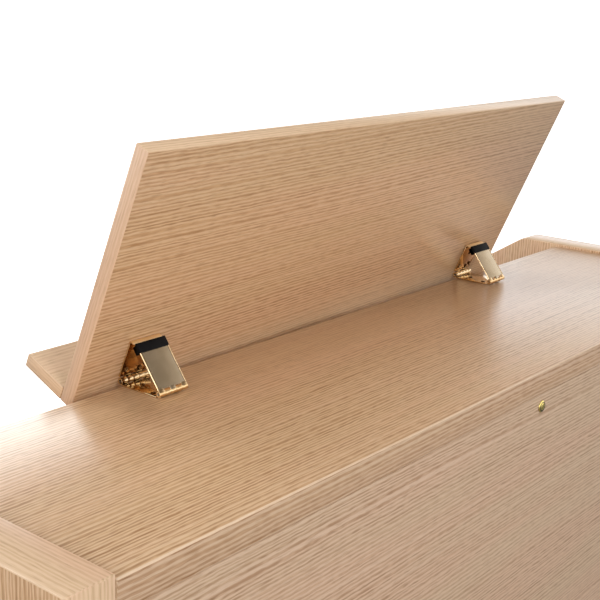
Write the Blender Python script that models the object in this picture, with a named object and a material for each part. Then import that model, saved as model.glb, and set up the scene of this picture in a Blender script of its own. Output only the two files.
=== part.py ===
"""Two-manual electronic organ console with a folding music desk.

Metres, +Z up. The player sits at -Y and looks along +Y; +X is the treble end.
The origin is on the floor, midway between the ends and midway between front and back.
Depths called "from the back" are measured forward from the back panel's outer face.
"""

from math import atan2, cos, pi, radians, sin, tan

import bmesh
import bpy
from mathutils import Matrix, Vector

# Clearances
GAP = 0.0003
RUN = 0.0010

# Cabinet
INNER_WIDTH = 1.302
SIDE_THICKNESS = 0.049
SIDE_RISE = 0.0047
TOP_HEIGHT = 1.000
TOP_DEPTH = 0.313
TOP_THICKNESS = 0.030
ARRIS = 0.0015
BACK_THICKNESS = 0.018
BACK_FLOOR_CLEARANCE = 0.012
SHOULDER = 0.066
SHOULDER_RADIUS = 0.025
ARM_FLAT = 0.0375
ARM_NOSE_RADIUS = 0.020
ARM_BELOW_BED = 0.040
ARM_PROUD = 0.0037
LEG_DEPTH = 0.410
LEG_RADIUS = 0.060
KNEE_PANEL_DEPTH = 0.330
KNEE_PANEL_THICKNESS = 0.016
BOTTOM_BOARD_THICKNESS = 0.018

# Manuals
MANUAL_STEP = 0.067
MANUAL_OFFSET = 0.105
KEY_VISIBLE = 0.146
KEY_LENGTH = 0.215
KEY_THICKNESS = 0.018
KEY_TRAVEL = 0.010
KEY_PIVOT_INSET = 0.010
KEY_BAR_DEPTH = 0.022
NATURAL_PITCH = 0.0235
NATURAL_GAP = 0.0010
NATURAL_HEAD = 0.050
SHARP_WIDTH = 0.0105
SHARP_RISE = 0.012
SHARP_SLOT_CLEARANCE = 0.0010
OCTAVES = 5
CHASSIS_PLATE = 0.003
CHASSIS_RAIL_DEPTH = 0.018
CHASSIS_DROP = 0.0267
PIVOT_RAIL_CLEARANCE = 0.0006

# Stop rail and stop tabs
STOP_RAIL_ANGLE = radians(45.0)
STOP_RAIL_DROP = 0.0485
STOP_RAIL_THICKNESS = 0.012
RAIL_OVER_KEYS = 0.0245
TAB_WIDTH = 0.015
TAB_PITCH = 0.020
TAB_LENGTH = 0.028
TAB_THICKNESS = 0.004
TAB_STAND = 0.009
TAB_NECK = 0.006
TAB_BAR_RADIUS = 0.004
TAB_BAR_OVERHANG = 0.006
TAB_SLOT_HEIGHT = 0.014
TAB_GROUPS = (
    ("pedal_stop_tabs", 8, -0.330),
    ("great_stop_tabs", 10, 0.0),
    ("swell_stop_tabs", 10, 0.340),
)

# Key bed, slips, jambs and thumb pistons
KEY_BED_THICKNESS = 0.025
KEY_SLIP_THICKNESS = 0.0227
KEY_SLIP_BELOW_KEYS = 0.012
KEY_SLIP_BELOW_BED = 0.015
UPPER_SLIP_DEPTH = 0.022
UPPER_SLIP_HEIGHT = 0.0195
JAMB_RISE = 0.014
JAMB_STEP_INSET = 0.001
PISTON_COUNT = 8
PISTON_PITCH = 0.050
PISTON_RADIUS = 0.005
PISTON_HOLE_CLEARANCE = 0.0005
PISTON_PROUD = 0.004
PISTON_BAR = 0.005
SLIP_FRONT_WALL = 0.008

# Controls on the jambs
KNOB_RADIUS = 0.011
KNOB_HEIGHT = 0.014
KNOB_SHAFT_RADIUS = 0.003
KNOB_SHAFT_LENGTH = 0.010
BUTTON_RADIUS = 0.008
BUTTON_PROUD = 0.003
BUTTON_TRAVEL = 0.0025
BUTTON_LENGTH = 0.010
CONTROL_INSET = 0.060
CONTROL_SETBACK = 0.0525

# Swell shoe
SHOE_LENGTH = 0.240
SHOE_WIDTH = 0.095
SHOE_THICKNESS = 0.014
SHOE_ANGLE = radians(30.0)
SHOE_REACH = 0.150
SHOE_HEIGHT = 0.240
SHOE_OVER_AXLE = 0.026
SHOE_LUG_WIDTH = 0.010
BRACKET_WIDTH = 0.040
BRACKET_HEIGHT = 0.110
AXLE_RADIUS = 0.005
AXLE_CLEARANCE = 0.0005
BOSS_RADIUS = 0.013

# Speakers and electronics
SPEAKER_RADIUS = 0.082
SPEAKER_HOLE_RADIUS = 0.070
SPEAKER_DEPTH = 0.075
SPEAKER_FLANGE = 0.004
SPEAKER_BASKET_RADIUS = 0.070
SPEAKER_BASKET_DEPTH = 0.045
SPEAKER_MAGNET_RADIUS = 0.037
SPEAKER_CONE_DEPTH = 0.030
SPEAKER_SURROUND = 0.010
SPEAKER_FROM_END = 0.271
SPEAKER_BELOW_BED = 0.175
GRILLE_FROM_END = 0.111
GRILLE_HEIGHT = 0.210
GRILLE_THICKNESS = 0.010
AMPLIFIER_WIDTH = 0.300
AMPLIFIER_DEPTH = 0.190
AMPLIFIER_HEIGHT = 0.060
AMPLIFIER_X = -0.170
AMPLIFIER_FIN_COUNT = 9
AMPLIFIER_FIN_HEIGHT = 0.025
SUPPLY_WIDTH = 0.160
SUPPLY_DEPTH = 0.150
SUPPLY_HEIGHT = 0.080
SUPPLY_X = 0.180
SOUND_BOARD_WIDTH = 0.320
SOUND_BOARD_HEIGHT = 0.180
SOUND_BOARD_Z = 0.500
SOUND_BOARD_THICKNESS = 0.0016
STANDOFF_LENGTH = 0.010
STANDOFF_RADIUS = 0.003
STANDOFF_INSET = 0.012
CHIP_COUNT = 4
CHIP_WIDTH = 0.040
CHIP_HEIGHT = 0.070
CHIP_THICKNESS = 0.005
CONNECTOR_WIDTH = 0.170
CONNECTOR_HEIGHT = 0.050
CONNECTOR_DEPTH = 0.022
CONNECTOR_FROM_END = 0.231
CONNECTOR_Z = 0.260
CONNECTOR_RECESS = 0.002
INLET_OFFSET = 0.050
INLET_WIDTH = 0.028
INLET_HEIGHT = 0.021
SOCKET_DEPTH = 0.016
SOCKET_RADIUS = 0.0075
SOCKET_OFFSETS = (-0.060, -0.020)

# Back panel screw
CUP_RADIUS = 0.0073
CUP_RIM = 0.0006
CUP_HEIGHT = 0.0016
SCREW_HEAD_RADIUS = 0.0052
SCREW_SHOULDER_RADIUS = 0.0038
SCREW_SHOULDER_HEIGHT = 0.0022
SCREW_HEAD_HEIGHT = 0.0026
SCREW_SHANK_RADIUS = 0.0020
SCREW_SHANK_LENGTH = 0.016
SCREW_BELOW_TOP = 0.0452
SCREW_X = -0.017

# Music desk
DESK_LEAN = radians(23.2)
DESK_WIDTH = 0.846
DESK_HEIGHT = 0.3158
DESK_THICKNESS = 0.018
DESK_BELOW_PIVOT = 0.0239
LEDGE_DEPTH = 0.0635
LEDGE_THICKNESS = 0.0163

# Music desk hinges
HINGE_X = 0.343
HINGE_WIDTH = 0.042
HINGE_REACH = 0.060
PIVOT_OVERHANG = 0.0030
PIVOT_RISE = 0.0050
FOOT_RISE = 0.0048
FACE_TO_PIVOT = 0.0050
LEAF_THICKNESS = 0.0018
PIVOT_KNUCKLE_RADIUS = 0.0040
FOOT_KNUCKLE_RADIUS = 0.0034
HINGE_PIN_RADIUS = 0.0012
HINGE_BORE_RADIUS = 0.0015
KNUCKLE_COUNT = 5
KNUCKLE_CLEARANCE = 0.0003
LIP_FROM_PIVOT = 0.0540
LIP_REACH = 0.0026
STAY_ANGLE = radians(127.6)
STAY_LENGTH = 0.0570
CAP_LENGTH = 0.0100
CAP_OVER_END = 0.0015
CAP_INNER = 0.0018
CAP_OUTER = 0.0012
STAY_OUTER_FACE = 0.0032

# Pedalboard
PEDALBOARD_DEPTH = 0.900
PEDALBOARD_REAR = 0.120
PEDAL_CHEEK_THICKNESS = 0.040
PEDAL_CHEEK_HEIGHT = 0.112
PEDAL_RAIL_DEPTH = 0.040
PEDAL_UNDER_RAIL_HEIGHT = 0.024
PEDAL_UNDER_RAIL_DEPTH = 0.060
PEDAL_UNDER_RAIL_FROM_TOE = 0.240
HEEL_COVER_DEPTH = 0.120
HEEL_WALL = 0.015
HEEL_COVER_THICKNESS = 0.014
PEDAL_PITCH = 0.064
PEDAL_END_ROOM = 0.045
PEDAL_WIDTH = 0.024
PEDAL_THICKNESS = 0.024
PEDAL_TOP = 0.090
PEDAL_SHARP_WIDTH = 0.022
PEDAL_SHARP_LEVEL = 0.063
PEDAL_SHARP_THICKNESS = 0.024
PEDAL_CAP_LENGTH = 0.300
PEDAL_CAP_TOP = 0.124
PEDAL_HEADROOM = 0.008
PEDAL_BAR_DEPTH = 0.026
PEDAL_BAR_CLEARANCE = 0.0005
PEDAL_TOE_CLEARANCE = 0.005
NATURAL_PIVOT_FROM_HEEL = 0.040
SHARP_PIVOT_FROM_HEEL = 0.085

# Sharps stand at the left edge of these naturals, moved sideways by these amounts on the manuals
SHARP_NUDGES = {1: -0.0032, 2: 0.0032, 4: -0.0040, 5: 0.0, 6: 0.0040}

# Derived stations
HALF_INNER = INNER_WIDTH / 2
HALF_OUTER = HALF_INNER + SIDE_THICKNESS
SPEAKER_X = HALF_INNER - SPEAKER_FROM_END
GRILLE_WIDTH = 2 * (HALF_INNER - GRILLE_FROM_END)
CONNECTOR_X = HALF_INNER - CONNECTOR_FROM_END
OVERALL_DEPTH = PEDALBOARD_REAR + PEDALBOARD_DEPTH
BACK_Y = (OVERALL_DEPTH - SCREW_HEAD_HEIGHT) / 2
TOP_UNDERSIDE = TOP_HEIGHT - TOP_THICKNESS
RAIL_BOTTOM = TOP_UNDERSIDE - STOP_RAIL_DROP
UPPER_KEY_TOP = RAIL_BOTTOM - RAIL_OVER_KEYS
LOWER_KEY_TOP = UPPER_KEY_TOP - MANUAL_STEP
FALL_DEPTH = TOP_DEPTH + STOP_RAIL_DROP / tan(STOP_RAIL_ANGLE)
UPPER_KEY_FRONT = FALL_DEPTH + KEY_VISIBLE
LOWER_KEY_FRONT = UPPER_KEY_FRONT + MANUAL_OFFSET
SLIP_REAR = LOWER_KEY_FRONT + RUN
SLIP_FRONT = SLIP_REAR + KEY_SLIP_THICKNESS
SIDE_DEPTH = SLIP_FRONT + ARM_PROUD
BED_TOP = LOWER_KEY_TOP - KEY_THICKNESS - CHASSIS_DROP - GAP
BED_UNDERSIDE = BED_TOP - KEY_BED_THICKNESS
SPEAKER_HEIGHT = BED_UNDERSIDE - SPEAKER_BELOW_BED
MANUAL_HALF_WIDTH = (OCTAVES * 7 + 1) * NATURAL_PITCH / 2
JAMB_INNER = MANUAL_HALF_WIDTH + RUN
BOARD_HALF = HALF_INNER - GAP
PEDAL_FRAME_HALF = HALF_INNER - GAP
PEDAL_ROOM = 2 * (PEDAL_FRAME_HALF - PEDAL_CHEEK_THICKNESS - PEDAL_END_ROOM)
PEDAL_COUNT = 1 + int((PEDAL_ROOM - PEDAL_WIDTH) / PEDAL_PITCH)
BOTTOM_BOARD_UNDERSIDE = PEDAL_CAP_TOP + PEDAL_HEADROOM
BACK_INSIDE = BACK_THICKNESS + GAP
PIVOT_DEPTH = TOP_DEPTH + PIVOT_OVERHANG
PIVOT_HEIGHT = TOP_HEIGHT + PIVOT_RISE
FOOT_PIN_DEPTH = PIVOT_DEPTH - HINGE_REACH
FOOT_PIN_HEIGHT = TOP_HEIGHT + FOOT_RISE
TAB_AXIS_BEHIND = STOP_RAIL_THICKNESS + TAB_BAR_RADIUS + GAP
CAVITY_MIDDLE = (BACK_INSIDE + KNEE_PANEL_DEPTH - KNEE_PANEL_THICKNESS) / 2


def y_at(depth):
    """World Y of a depth measured forward from the back face."""
    return BACK_Y - depth


def clear_scene():
    """Remove every object that the file starts with."""
    for thing in list(bpy.data.objects):
        bpy.data.objects.remove(thing, do_unlink=True)


def make_material(name, colour, roughness, metallic=0.0):
    """A Principled material of one colour."""
    made = bpy.data.materials.new(name)
    made.use_nodes = True
    shader = made.node_tree.nodes["Principled BSDF"]
    shader.inputs["Base Color"].default_value = (*colour, 1.0)
    shader.inputs["Roughness"].default_value = roughness
    shader.inputs["Metallic"].default_value = metallic
    return made


def add_mesh(name, bm, material, smooth=False):
    """Put a bmesh into the scene as one named object."""
    bmesh.ops.recalc_face_normals(bm, faces=bm.faces[:])
    mesh = bpy.data.meshes.new(name)
    bm.to_mesh(mesh)
    bm.free()
    made = bpy.data.objects.new(name, mesh)
    bpy.context.scene.collection.objects.link(made)
    if material is not None:
        mesh.materials.append(material)
    if smooth:
        mesh.shade_smooth()
        mesh.set_sharp_from_angle(angle=radians(35.0))
    return made


def add_box_to(bm, low, high):
    """Add one closed box between two corners."""
    centre = (Vector(low) + Vector(high)) / 2
    size = Vector(high) - Vector(low)
    place = Matrix.Translation(centre) @ Matrix.Diagonal((*size, 1.0))
    bmesh.ops.create_cube(bm, size=1.0, matrix=place)


def box(name, low, high, material=None):
    """One box object."""
    bm = bmesh.new()
    add_box_to(bm, low, high)
    return add_mesh(name, bm, material)


def boxes(name, corners, material=None):
    """Several separate boxes in one object, for use in a Boolean."""
    bm = bmesh.new()
    for low, high in corners:
        add_box_to(bm, low, high)
    return add_mesh(name, bm, material)


def centred(name, middle, size, material=None):
    """One box object about its centre."""
    half = Vector(size) / 2
    return box(name, Vector(middle) - half, Vector(middle) + half, material)


def prism(name, outline, low_x, high_x, material=None, smooth=False):
    """An outline of (y, z) points extruded along X."""
    bm = bmesh.new()
    ring = [bm.verts.new((low_x, y, z)) for y, z in outline]
    face = bm.faces.new(ring)
    grown = bmesh.ops.extrude_face_region(bm, geom=[face])
    moved = [v for v in grown["geom"] if isinstance(v, bmesh.types.BMVert)]
    bmesh.ops.translate(bm, verts=moved, vec=(high_x - low_x, 0.0, 0.0))
    return add_mesh(name, bm, material, smooth)


def slab(name, outline, low_z, high_z, material=None):
    """An outline of (x, y) points extruded along Z."""
    bm = bmesh.new()
    ring = [bm.verts.new((x, y, low_z)) for x, y in outline]
    face = bm.faces.new(ring)
    grown = bmesh.ops.extrude_face_region(bm, geom=[face])
    moved = [v for v in grown["geom"] if isinstance(v, bmesh.types.BMVert)]
    bmesh.ops.translate(bm, verts=moved, vec=(0.0, 0.0, high_z - low_z))
    return add_mesh(name, bm, material)


def add_rod_to(bm, start, end, radius, sides):
    """Add one closed cylinder between two points."""
    start = Vector(start)
    axis = Vector(end) - start
    turn = Vector((0.0, 0.0, 1.0)).rotation_difference(axis.normalized()).to_matrix().to_4x4()
    place = Matrix.Translation(start + axis / 2) @ turn
    bmesh.ops.create_cone(
        bm, cap_ends=True, cap_tris=False, segments=sides,
        radius1=radius, radius2=radius, depth=axis.length, matrix=place,
    )


def rods(name, ends, radius, sides, material=None, smooth=False):
    """Separate cylinders of one radius in one object."""
    bm = bmesh.new()
    for start, end in ends:
        add_rod_to(bm, start, end, radius, sides)
    return add_mesh(name, bm, material, smooth)


def turned(name, profile, sides, place, material=None):
    """A profile of (radius, height) points turned about Z, closed on the axis at both ends."""
    bm = bmesh.new()
    rings = []
    for radius, height in profile:
        if radius == 0.0:
            rings.append([bm.verts.new((0.0, 0.0, height))])
            continue
        steps = [2 * pi * i / sides for i in range(sides)]
        rings.append([bm.verts.new((radius * cos(a), radius * sin(a), height)) for a in steps])
    for lower, upper in zip(rings, rings[1:]):
        for i in range(sides):
            j = (i + 1) % sides
            if len(lower) == 1:
                bm.faces.new((lower[0], upper[i], upper[j]))
            elif len(upper) == 1:
                bm.faces.new((lower[i], lower[j], upper[0]))
            else:
                bm.faces.new((lower[i], lower[j], upper[j], upper[i]))
    bm.transform(place)
    return add_mesh(name, bm, material, smooth=True)


def bake(thing):
    """Replace an object's mesh by its evaluated one and drop its modifiers."""
    bpy.context.view_layer.update()
    graph = bpy.context.evaluated_depsgraph_get()
    mesh = bpy.data.meshes.new_from_object(thing.evaluated_get(graph))
    thing.modifiers.clear()
    thing.data = mesh


def combine(thing, other, operation):
    """Apply one exact Boolean and remove the second object."""
    step = thing.modifiers.new(operation.lower(), "BOOLEAN")
    step.operation = operation
    step.solver = "EXACT"
    step.object = other
    bake(thing)
    bpy.data.objects.remove(other, do_unlink=True)
    return thing


def cut(thing, other):
    """Cut one object out of another."""
    return combine(thing, other, "DIFFERENCE")


def fuse(thing, other):
    """Join one object to another as one body."""
    return combine(thing, other, "UNION")


def soften(thing, width=ARRIS, segments=2):
    """Round every sharp edge of a board."""
    step = thing.modifiers.new("arris", "BEVEL")
    step.width = width
    step.segments = segments
    step.limit_method = "ANGLE"
    step.angle_limit = radians(40.0)
    bake(thing)
    return thing


def rounded(points, radii, steps=6):
    """Replace each corner of a polygon by an arc of the radius given for it, where that is above zero."""
    outline = []
    count = len(points)
    for i, radius in enumerate(radii):
        here = Vector(points[i])
        if radius == 0.0:
            outline.append(tuple(here))
            continue
        before = (Vector(points[i - 1]) - here).normalized()
        after = (Vector(points[(i + 1) % count]) - here).normalized()
        half = before.angle(after) / 2
        centre = here + (before + after).normalized() * (radius / sin(half))
        start = here + before * (radius / tan(half)) - centre
        end = here + after * (radius / tan(half)) - centre
        sweep = start.angle_signed(end)
        for k in range(steps + 1):
            turn = Matrix.Rotation(-sweep * k / steps, 2)
            outline.append(tuple(centre + turn @ start))
    return outline


def place_joint_origin(thing, point):
    """Move an object's origin to a point on its joint's axis and leave its mesh in place."""
    shift = Vector(point)
    thing.data.transform(Matrix.Translation(-shift))
    thing.location = shift


def build_top_panel(oak):
    """Top panel, flush with the back panel's outer face."""
    top = box(
        "top_panel",
        (-BOARD_HALF, y_at(TOP_DEPTH), TOP_UNDERSIDE),
        (BOARD_HALF, y_at(0.0), TOP_HEIGHT),
        oak,
    )
    soften(top)


def build_back_panel(oak):
    """Back panel with the screw's hole and the connector plate's opening."""
    panel = box(
        "back_panel",
        (-BOARD_HALF, y_at(BACK_THICKNESS), BACK_FLOOR_CLEARANCE),
        (BOARD_HALF, y_at(0.0), TOP_UNDERSIDE - GAP),
        oak,
    )
    hole = rods(
        "screw_hole",
        [((SCREW_X, y_at(-RUN), TOP_HEIGHT - SCREW_BELOW_TOP),
          (SCREW_X, y_at(BACK_THICKNESS + RUN), TOP_HEIGHT - SCREW_BELOW_TOP))],
        SCREW_SHANK_RADIUS + GAP, 12,
    )
    cut(panel, hole)
    wide = CONNECTOR_WIDTH / 2 + GAP
    tall = CONNECTOR_HEIGHT / 2 + GAP
    opening = box(
        "connector_opening",
        (CONNECTOR_X - wide, y_at(BACK_THICKNESS + RUN), CONNECTOR_Z - tall),
        (CONNECTOR_X + wide, y_at(-RUN), CONNECTOR_Z + tall),
    )
    cut(panel, opening)


def side_outline():
    """Side panel's outline: flat top, shoulder, slope along the key fronts, arm and leg."""
    slope = atan2(MANUAL_STEP, MANUAL_OFFSET)
    crest = TOP_HEIGHT + SIDE_RISE
    shoulder = TOP_DEPTH + SHOULDER
    arm = SIDE_DEPTH - ARM_FLAT
    arm_top = crest - (arm - shoulder) * tan(slope)
    arm_bottom = BED_UNDERSIDE - ARM_BELOW_BED
    points = [
        (y_at(0.0), 0.0),
        (y_at(0.0), crest),
        (y_at(shoulder), crest),
        (y_at(arm), arm_top),
        (y_at(SIDE_DEPTH), arm_top),
        (y_at(SIDE_DEPTH), arm_bottom),
        (y_at(LEG_DEPTH), arm_bottom),
        (y_at(LEG_DEPTH), 0.0),
    ]
    shoulders = [SHOULDER_RADIUS, SHOULDER_RADIUS]
    noses = [ARM_NOSE_RADIUS, ARM_NOSE_RADIUS]
    return rounded(points, [0.0, 0.0, *shoulders, *noses, LEG_RADIUS, 0.0])


def build_sides(oak):
    """Treble and bass sides, each one thick shaped panel."""
    outline = side_outline()
    for name, sign in (("treble_side", 1), ("bass_side", -1)):
        low, high = sorted((sign * HALF_INNER, sign * HALF_OUTER))
        side = prism(name, outline, low, high, oak)
        soften(side)


def build_lower_case(oak):
    """Bottom board, knee panel and key bed, all between the sides."""
    box(
        "bottom_board",
        (-BOARD_HALF, y_at(KNEE_PANEL_DEPTH - KNEE_PANEL_THICKNESS - GAP), BOTTOM_BOARD_UNDERSIDE),
        (BOARD_HALF, y_at(BACK_INSIDE), BOTTOM_BOARD_UNDERSIDE + BOTTOM_BOARD_THICKNESS),
        oak,
    )
    knee = box(
        "knee_panel",
        (-BOARD_HALF, y_at(KNEE_PANEL_DEPTH), BOTTOM_BOARD_UNDERSIDE),
        (BOARD_HALF, y_at(KNEE_PANEL_DEPTH - KNEE_PANEL_THICKNESS), BED_UNDERSIDE - GAP),
        oak,
    )
    holes = rods(
        "speaker_holes",
        [((x, y_at(KNEE_PANEL_DEPTH + RUN), SPEAKER_HEIGHT),
          (x, y_at(KNEE_PANEL_DEPTH - KNEE_PANEL_THICKNESS - RUN), SPEAKER_HEIGHT))
         for x in (-SPEAKER_X, SPEAKER_X)],
        SPEAKER_HOLE_RADIUS, 32,
    )
    cut(knee, holes)
    box(
        "key_bed",
        (-BOARD_HALF, y_at(SLIP_REAR - GAP), BED_UNDERSIDE),
        (BOARD_HALF, y_at(BACK_INSIDE), BED_TOP),
        oak,
    )


def slip_holes(front, rear, height):
    """Cutters for a slip's piston holes and for the groove that the piston bar moves in."""
    ends = [((x, y_at(front + RUN), height), (x, y_at(rear - RUN), height)) for x in piston_places()]
    holes = rods("piston_holes", ends, PISTON_RADIUS + PISTON_HOLE_CLEARANCE, 12)
    half = PISTON_RADIUS + RUN + GAP
    reach = (PISTON_COUNT - 1) * PISTON_PITCH / 2 + PISTON_RADIUS + 2 * RUN
    groove = box(
        "piston_groove",
        (-reach, y_at(front - SLIP_FRONT_WALL), height - half),
        (reach, y_at(rear - RUN), height + half),
    )
    return holes, groove


def piston_places():
    """X of each thumb piston."""
    return [(i - (PISTON_COUNT - 1) / 2) * PISTON_PITCH for i in range(PISTON_COUNT)]


def build_slip(name, front, rear, low, high, half, oak):
    """A rail under the key fronts, with holes for its thumb pistons."""
    slip = box(name, (-half, y_at(front), low), (half, y_at(rear), high), oak)
    holes, groove = slip_holes(front, rear, (low + high) / 2)
    cut(slip, holes)
    cut(slip, groove)


def build_pistons(name, front, height, ivory):
    """Thumb pistons in a row, joined by the bar behind the slip's front wall."""
    bar_front = front - SLIP_FRONT_WALL - GAP
    reach = (PISTON_COUNT - 1) * PISTON_PITCH / 2 + PISTON_RADIUS
    bar = box(
        name,
        (-reach, y_at(bar_front), height - PISTON_BAR / 2),
        (reach, y_at(bar_front - PISTON_BAR), height + PISTON_BAR / 2),
        ivory,
    )
    inner = y_at(bar_front - PISTON_BAR / 2)
    ends = [((x, y_at(front + PISTON_PROUD), height), (x, inner, height)) for x in piston_places()]
    fuse(bar, rods("piston_heads", ends, PISTON_RADIUS, 12))
    place_joint_origin(bar, (0.0, y_at(front), height))


def build_jambs(oak):
    """Stepped blocks that close the space between the manuals' ends and the sides."""
    low = BED_TOP + GAP
    lower = LOWER_KEY_TOP + JAMB_RISE
    upper = UPPER_KEY_TOP + JAMB_RISE
    step = UPPER_KEY_FRONT - JAMB_STEP_INSET
    rear = UPPER_KEY_FRONT - KEY_LENGTH
    outline = [
        (y_at(rear), low),
        (y_at(SLIP_REAR - GAP), low),
        (y_at(SLIP_REAR - GAP), lower),
        (y_at(step), lower),
        (y_at(step), upper),
        (y_at(rear), upper),
    ]
    made = []
    for name, sign in (("treble_jamb", 1), ("bass_jamb", -1)):
        near, far = sorted((sign * JAMB_INNER, sign * BOARD_HALF))
        made.append(prism(name, outline, near, far, oak))
    return made


def control_place(sign):
    """Centre of the control on a jamb's lower step, and the step's height."""
    x = sign * (HALF_INNER - CONTROL_INSET)
    return x, y_at(LOWER_KEY_FRONT - CONTROL_SETBACK), LOWER_KEY_TOP + JAMB_RISE


def build_volume_knob(jamb, black):
    """Rotary volume knob whose shaft goes down into the bass jamb."""
    x, y, z = control_place(-1)
    hole = rods("shaft_hole", [((x, y, z - KNOB_SHAFT_LENGTH - RUN), (x, y, z + RUN))],
                KNOB_SHAFT_RADIUS + GAP, 16)
    cut(jamb, hole)
    profile = [
        (0.0, -KNOB_SHAFT_LENGTH),
        (KNOB_SHAFT_RADIUS, -KNOB_SHAFT_LENGTH),
        (KNOB_SHAFT_RADIUS, GAP),
        (KNOB_RADIUS, GAP),
        (KNOB_RADIUS, KNOB_HEIGHT - RUN),
        (KNOB_RADIUS - RUN, KNOB_HEIGHT),
        (0.0, KNOB_HEIGHT),
    ]
    knob = turned("volume_knob", profile, 24, Matrix.Translation((x, y, z)), black)
    place_joint_origin(knob, (x, y, z))


def build_power_button(jamb, black):
    """Push button that travels down into a blind hole in the treble jamb."""
    x, y, z = control_place(1)
    floor = z + BUTTON_PROUD - BUTTON_LENGTH - BUTTON_TRAVEL - RUN
    hole = rods("button_hole", [((x, y, floor), (x, y, z + RUN))], BUTTON_RADIUS + GAP, 24)
    cut(jamb, hole)
    profile = [
        (0.0, BUTTON_PROUD - BUTTON_LENGTH),
        (BUTTON_RADIUS, BUTTON_PROUD - BUTTON_LENGTH),
        (BUTTON_RADIUS, BUTTON_PROUD - RUN),
        (BUTTON_RADIUS - RUN, BUTTON_PROUD),
        (0.0, BUTTON_PROUD),
    ]
    button = turned("power_button", profile, 24, Matrix.Translation((x, y, z)), black)
    place_joint_origin(button, (x, y, z))


def build_chassis(name, key_front, key_top, steel):
    """Manual chassis: a plate with the key fronts' stop rail and the pivot rail."""
    underside = key_top - KEY_THICKNESS
    plate_low = underside - CHASSIS_DROP
    rear = key_front - KEY_LENGTH
    front = key_front - UPPER_SLIP_DEPTH - RUN
    half = JAMB_INNER - GAP
    plate_high = plate_low + CHASSIS_PLATE
    chassis = box(name, (-half, y_at(front), plate_low), (half, y_at(rear), plate_high), steel)
    low = plate_low + CHASSIS_PLATE / 2
    stop_top = underside - KEY_TRAVEL - 2 * RUN
    pivot_top = underside - PIVOT_RAIL_CLEARANCE
    stop = ((-half + RUN, y_at(front - RUN), low), (half - RUN, y_at(front - CHASSIS_RAIL_DEPTH), stop_top))
    pivot = ((-half + RUN, y_at(rear + CHASSIS_RAIL_DEPTH), low), (half - RUN, y_at(rear + RUN), pivot_top))
    fuse(chassis, boxes("rails", [stop, pivot]))


def sharp_centres(first):
    """X of an octave's five sharps, measured from the octave's first natural's edge."""
    return {i: first + i * NATURAL_PITCH + nudge for i, nudge in SHARP_NUDGES.items()}


def octave_outline(first, naturals, front, rear):
    """Plan outline of a row of naturals joined by the bar at their rear."""
    sharps = sharp_centres(first)
    bar_front = y_at(rear + KEY_BAR_DEPTH)
    head_rear = y_at(front - NATURAL_HEAD)
    slot_half = SHARP_WIDTH / 2 + SHARP_SLOT_CLEARANCE
    left = first + NATURAL_GAP / 2
    right = first + naturals * NATURAL_PITCH - NATURAL_GAP / 2
    outline = [(left, y_at(rear)), (right, y_at(rear)), (right, y_at(front))]
    for i in range(naturals - 1, 0, -1):
        edge = first + i * NATURAL_PITCH
        outline.append((edge + NATURAL_GAP / 2, y_at(front)))
        if i in sharps and i < 7:
            outline.append((edge + NATURAL_GAP / 2, head_rear))
            outline.append((sharps[i] + slot_half, head_rear))
            outline.append((sharps[i] + slot_half, bar_front))
            outline.append((sharps[i] - slot_half, bar_front))
            outline.append((sharps[i] - slot_half, head_rear))
            outline.append((edge - NATURAL_GAP / 2, head_rear))
        else:
            outline.append((edge + NATURAL_GAP / 2, bar_front))
            outline.append((edge - NATURAL_GAP / 2, bar_front))
        outline.append((edge - NATURAL_GAP / 2, y_at(front)))
    outline.append((left, y_at(front)))
    return outline


def build_octave(name, first, naturals, key_front, key_top, ivory):
    """One octave of keys on their common rear bar, which turns on the pivot rail."""
    rear = key_front - KEY_LENGTH
    underside = key_top - KEY_THICKNESS
    keys = slab(name, octave_outline(first, naturals, key_front, rear), underside, key_top, ivory)
    sharp_front = key_front - NATURAL_HEAD - SHARP_SLOT_CLEARANCE
    sharp_rear = rear + KEY_BAR_DEPTH / 2
    sharps = boxes(
        "sharps",
        [((x - SHARP_WIDTH / 2, y_at(sharp_front), underside + RUN),
          (x + SHARP_WIDTH / 2, y_at(sharp_rear), key_top + SHARP_RISE))
         for x in sharp_centres(first).values()],
    )
    fuse(keys, sharps)
    place_joint_origin(keys, (first, y_at(rear + KEY_PIVOT_INSET), (underside + key_top) / 2))


def build_manual(prefix, key_front, key_top, ivory, steel):
    """One manual: its chassis and five octaves, the last with a top C."""
    build_chassis(prefix + "_manual_chassis", key_front, key_top, steel)
    for i in range(OCTAVES):
        first = -MANUAL_HALF_WIDTH + i * 7 * NATURAL_PITCH
        naturals = 8 if i == OCTAVES - 1 else 7
        build_octave(prefix + "_keys_octave_" + str(i + 1), first, naturals, key_front, key_top, ivory)


def rail_place():
    """Transform from the stop rail's own frame (Y up the slope, Z outward) to the world."""
    turn = Matrix.Rotation(STOP_RAIL_ANGLE, 4, "X")
    return Matrix.Translation((0.0, y_at(FALL_DEPTH), RAIL_BOTTOM)) @ turn


def rail_length():
    """Stop rail's length up the slope."""
    return STOP_RAIL_DROP / sin(STOP_RAIL_ANGLE)


def tab_places(count, centre):
    """X of each tab in a group."""
    return [centre + (i - (count - 1) / 2) * TAB_PITCH for i in range(count)]


def build_stop_rail(oak):
    """Sloping rail above the upper manual, with one slot for each group of tabs."""
    high = rail_length() - GAP
    rail = box("stop_rail", (-BOARD_HALF, 0.0, -STOP_RAIL_THICKNESS), (BOARD_HALF, high, 0.0), oak)
    middle = rail_length() / 2
    slots = []
    for _, count, centre in TAB_GROUPS:
        places = tab_places(count, centre)
        slots.append((
            (places[0] - TAB_WIDTH / 2 - RUN, middle - TAB_SLOT_HEIGHT / 2, -STOP_RAIL_THICKNESS - RUN),
            (places[-1] + TAB_WIDTH / 2 + RUN, middle + TAB_SLOT_HEIGHT / 2, RUN),
        ))
    cut(rail, boxes("tab_slots", slots))
    rail.data.transform(rail_place())


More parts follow.
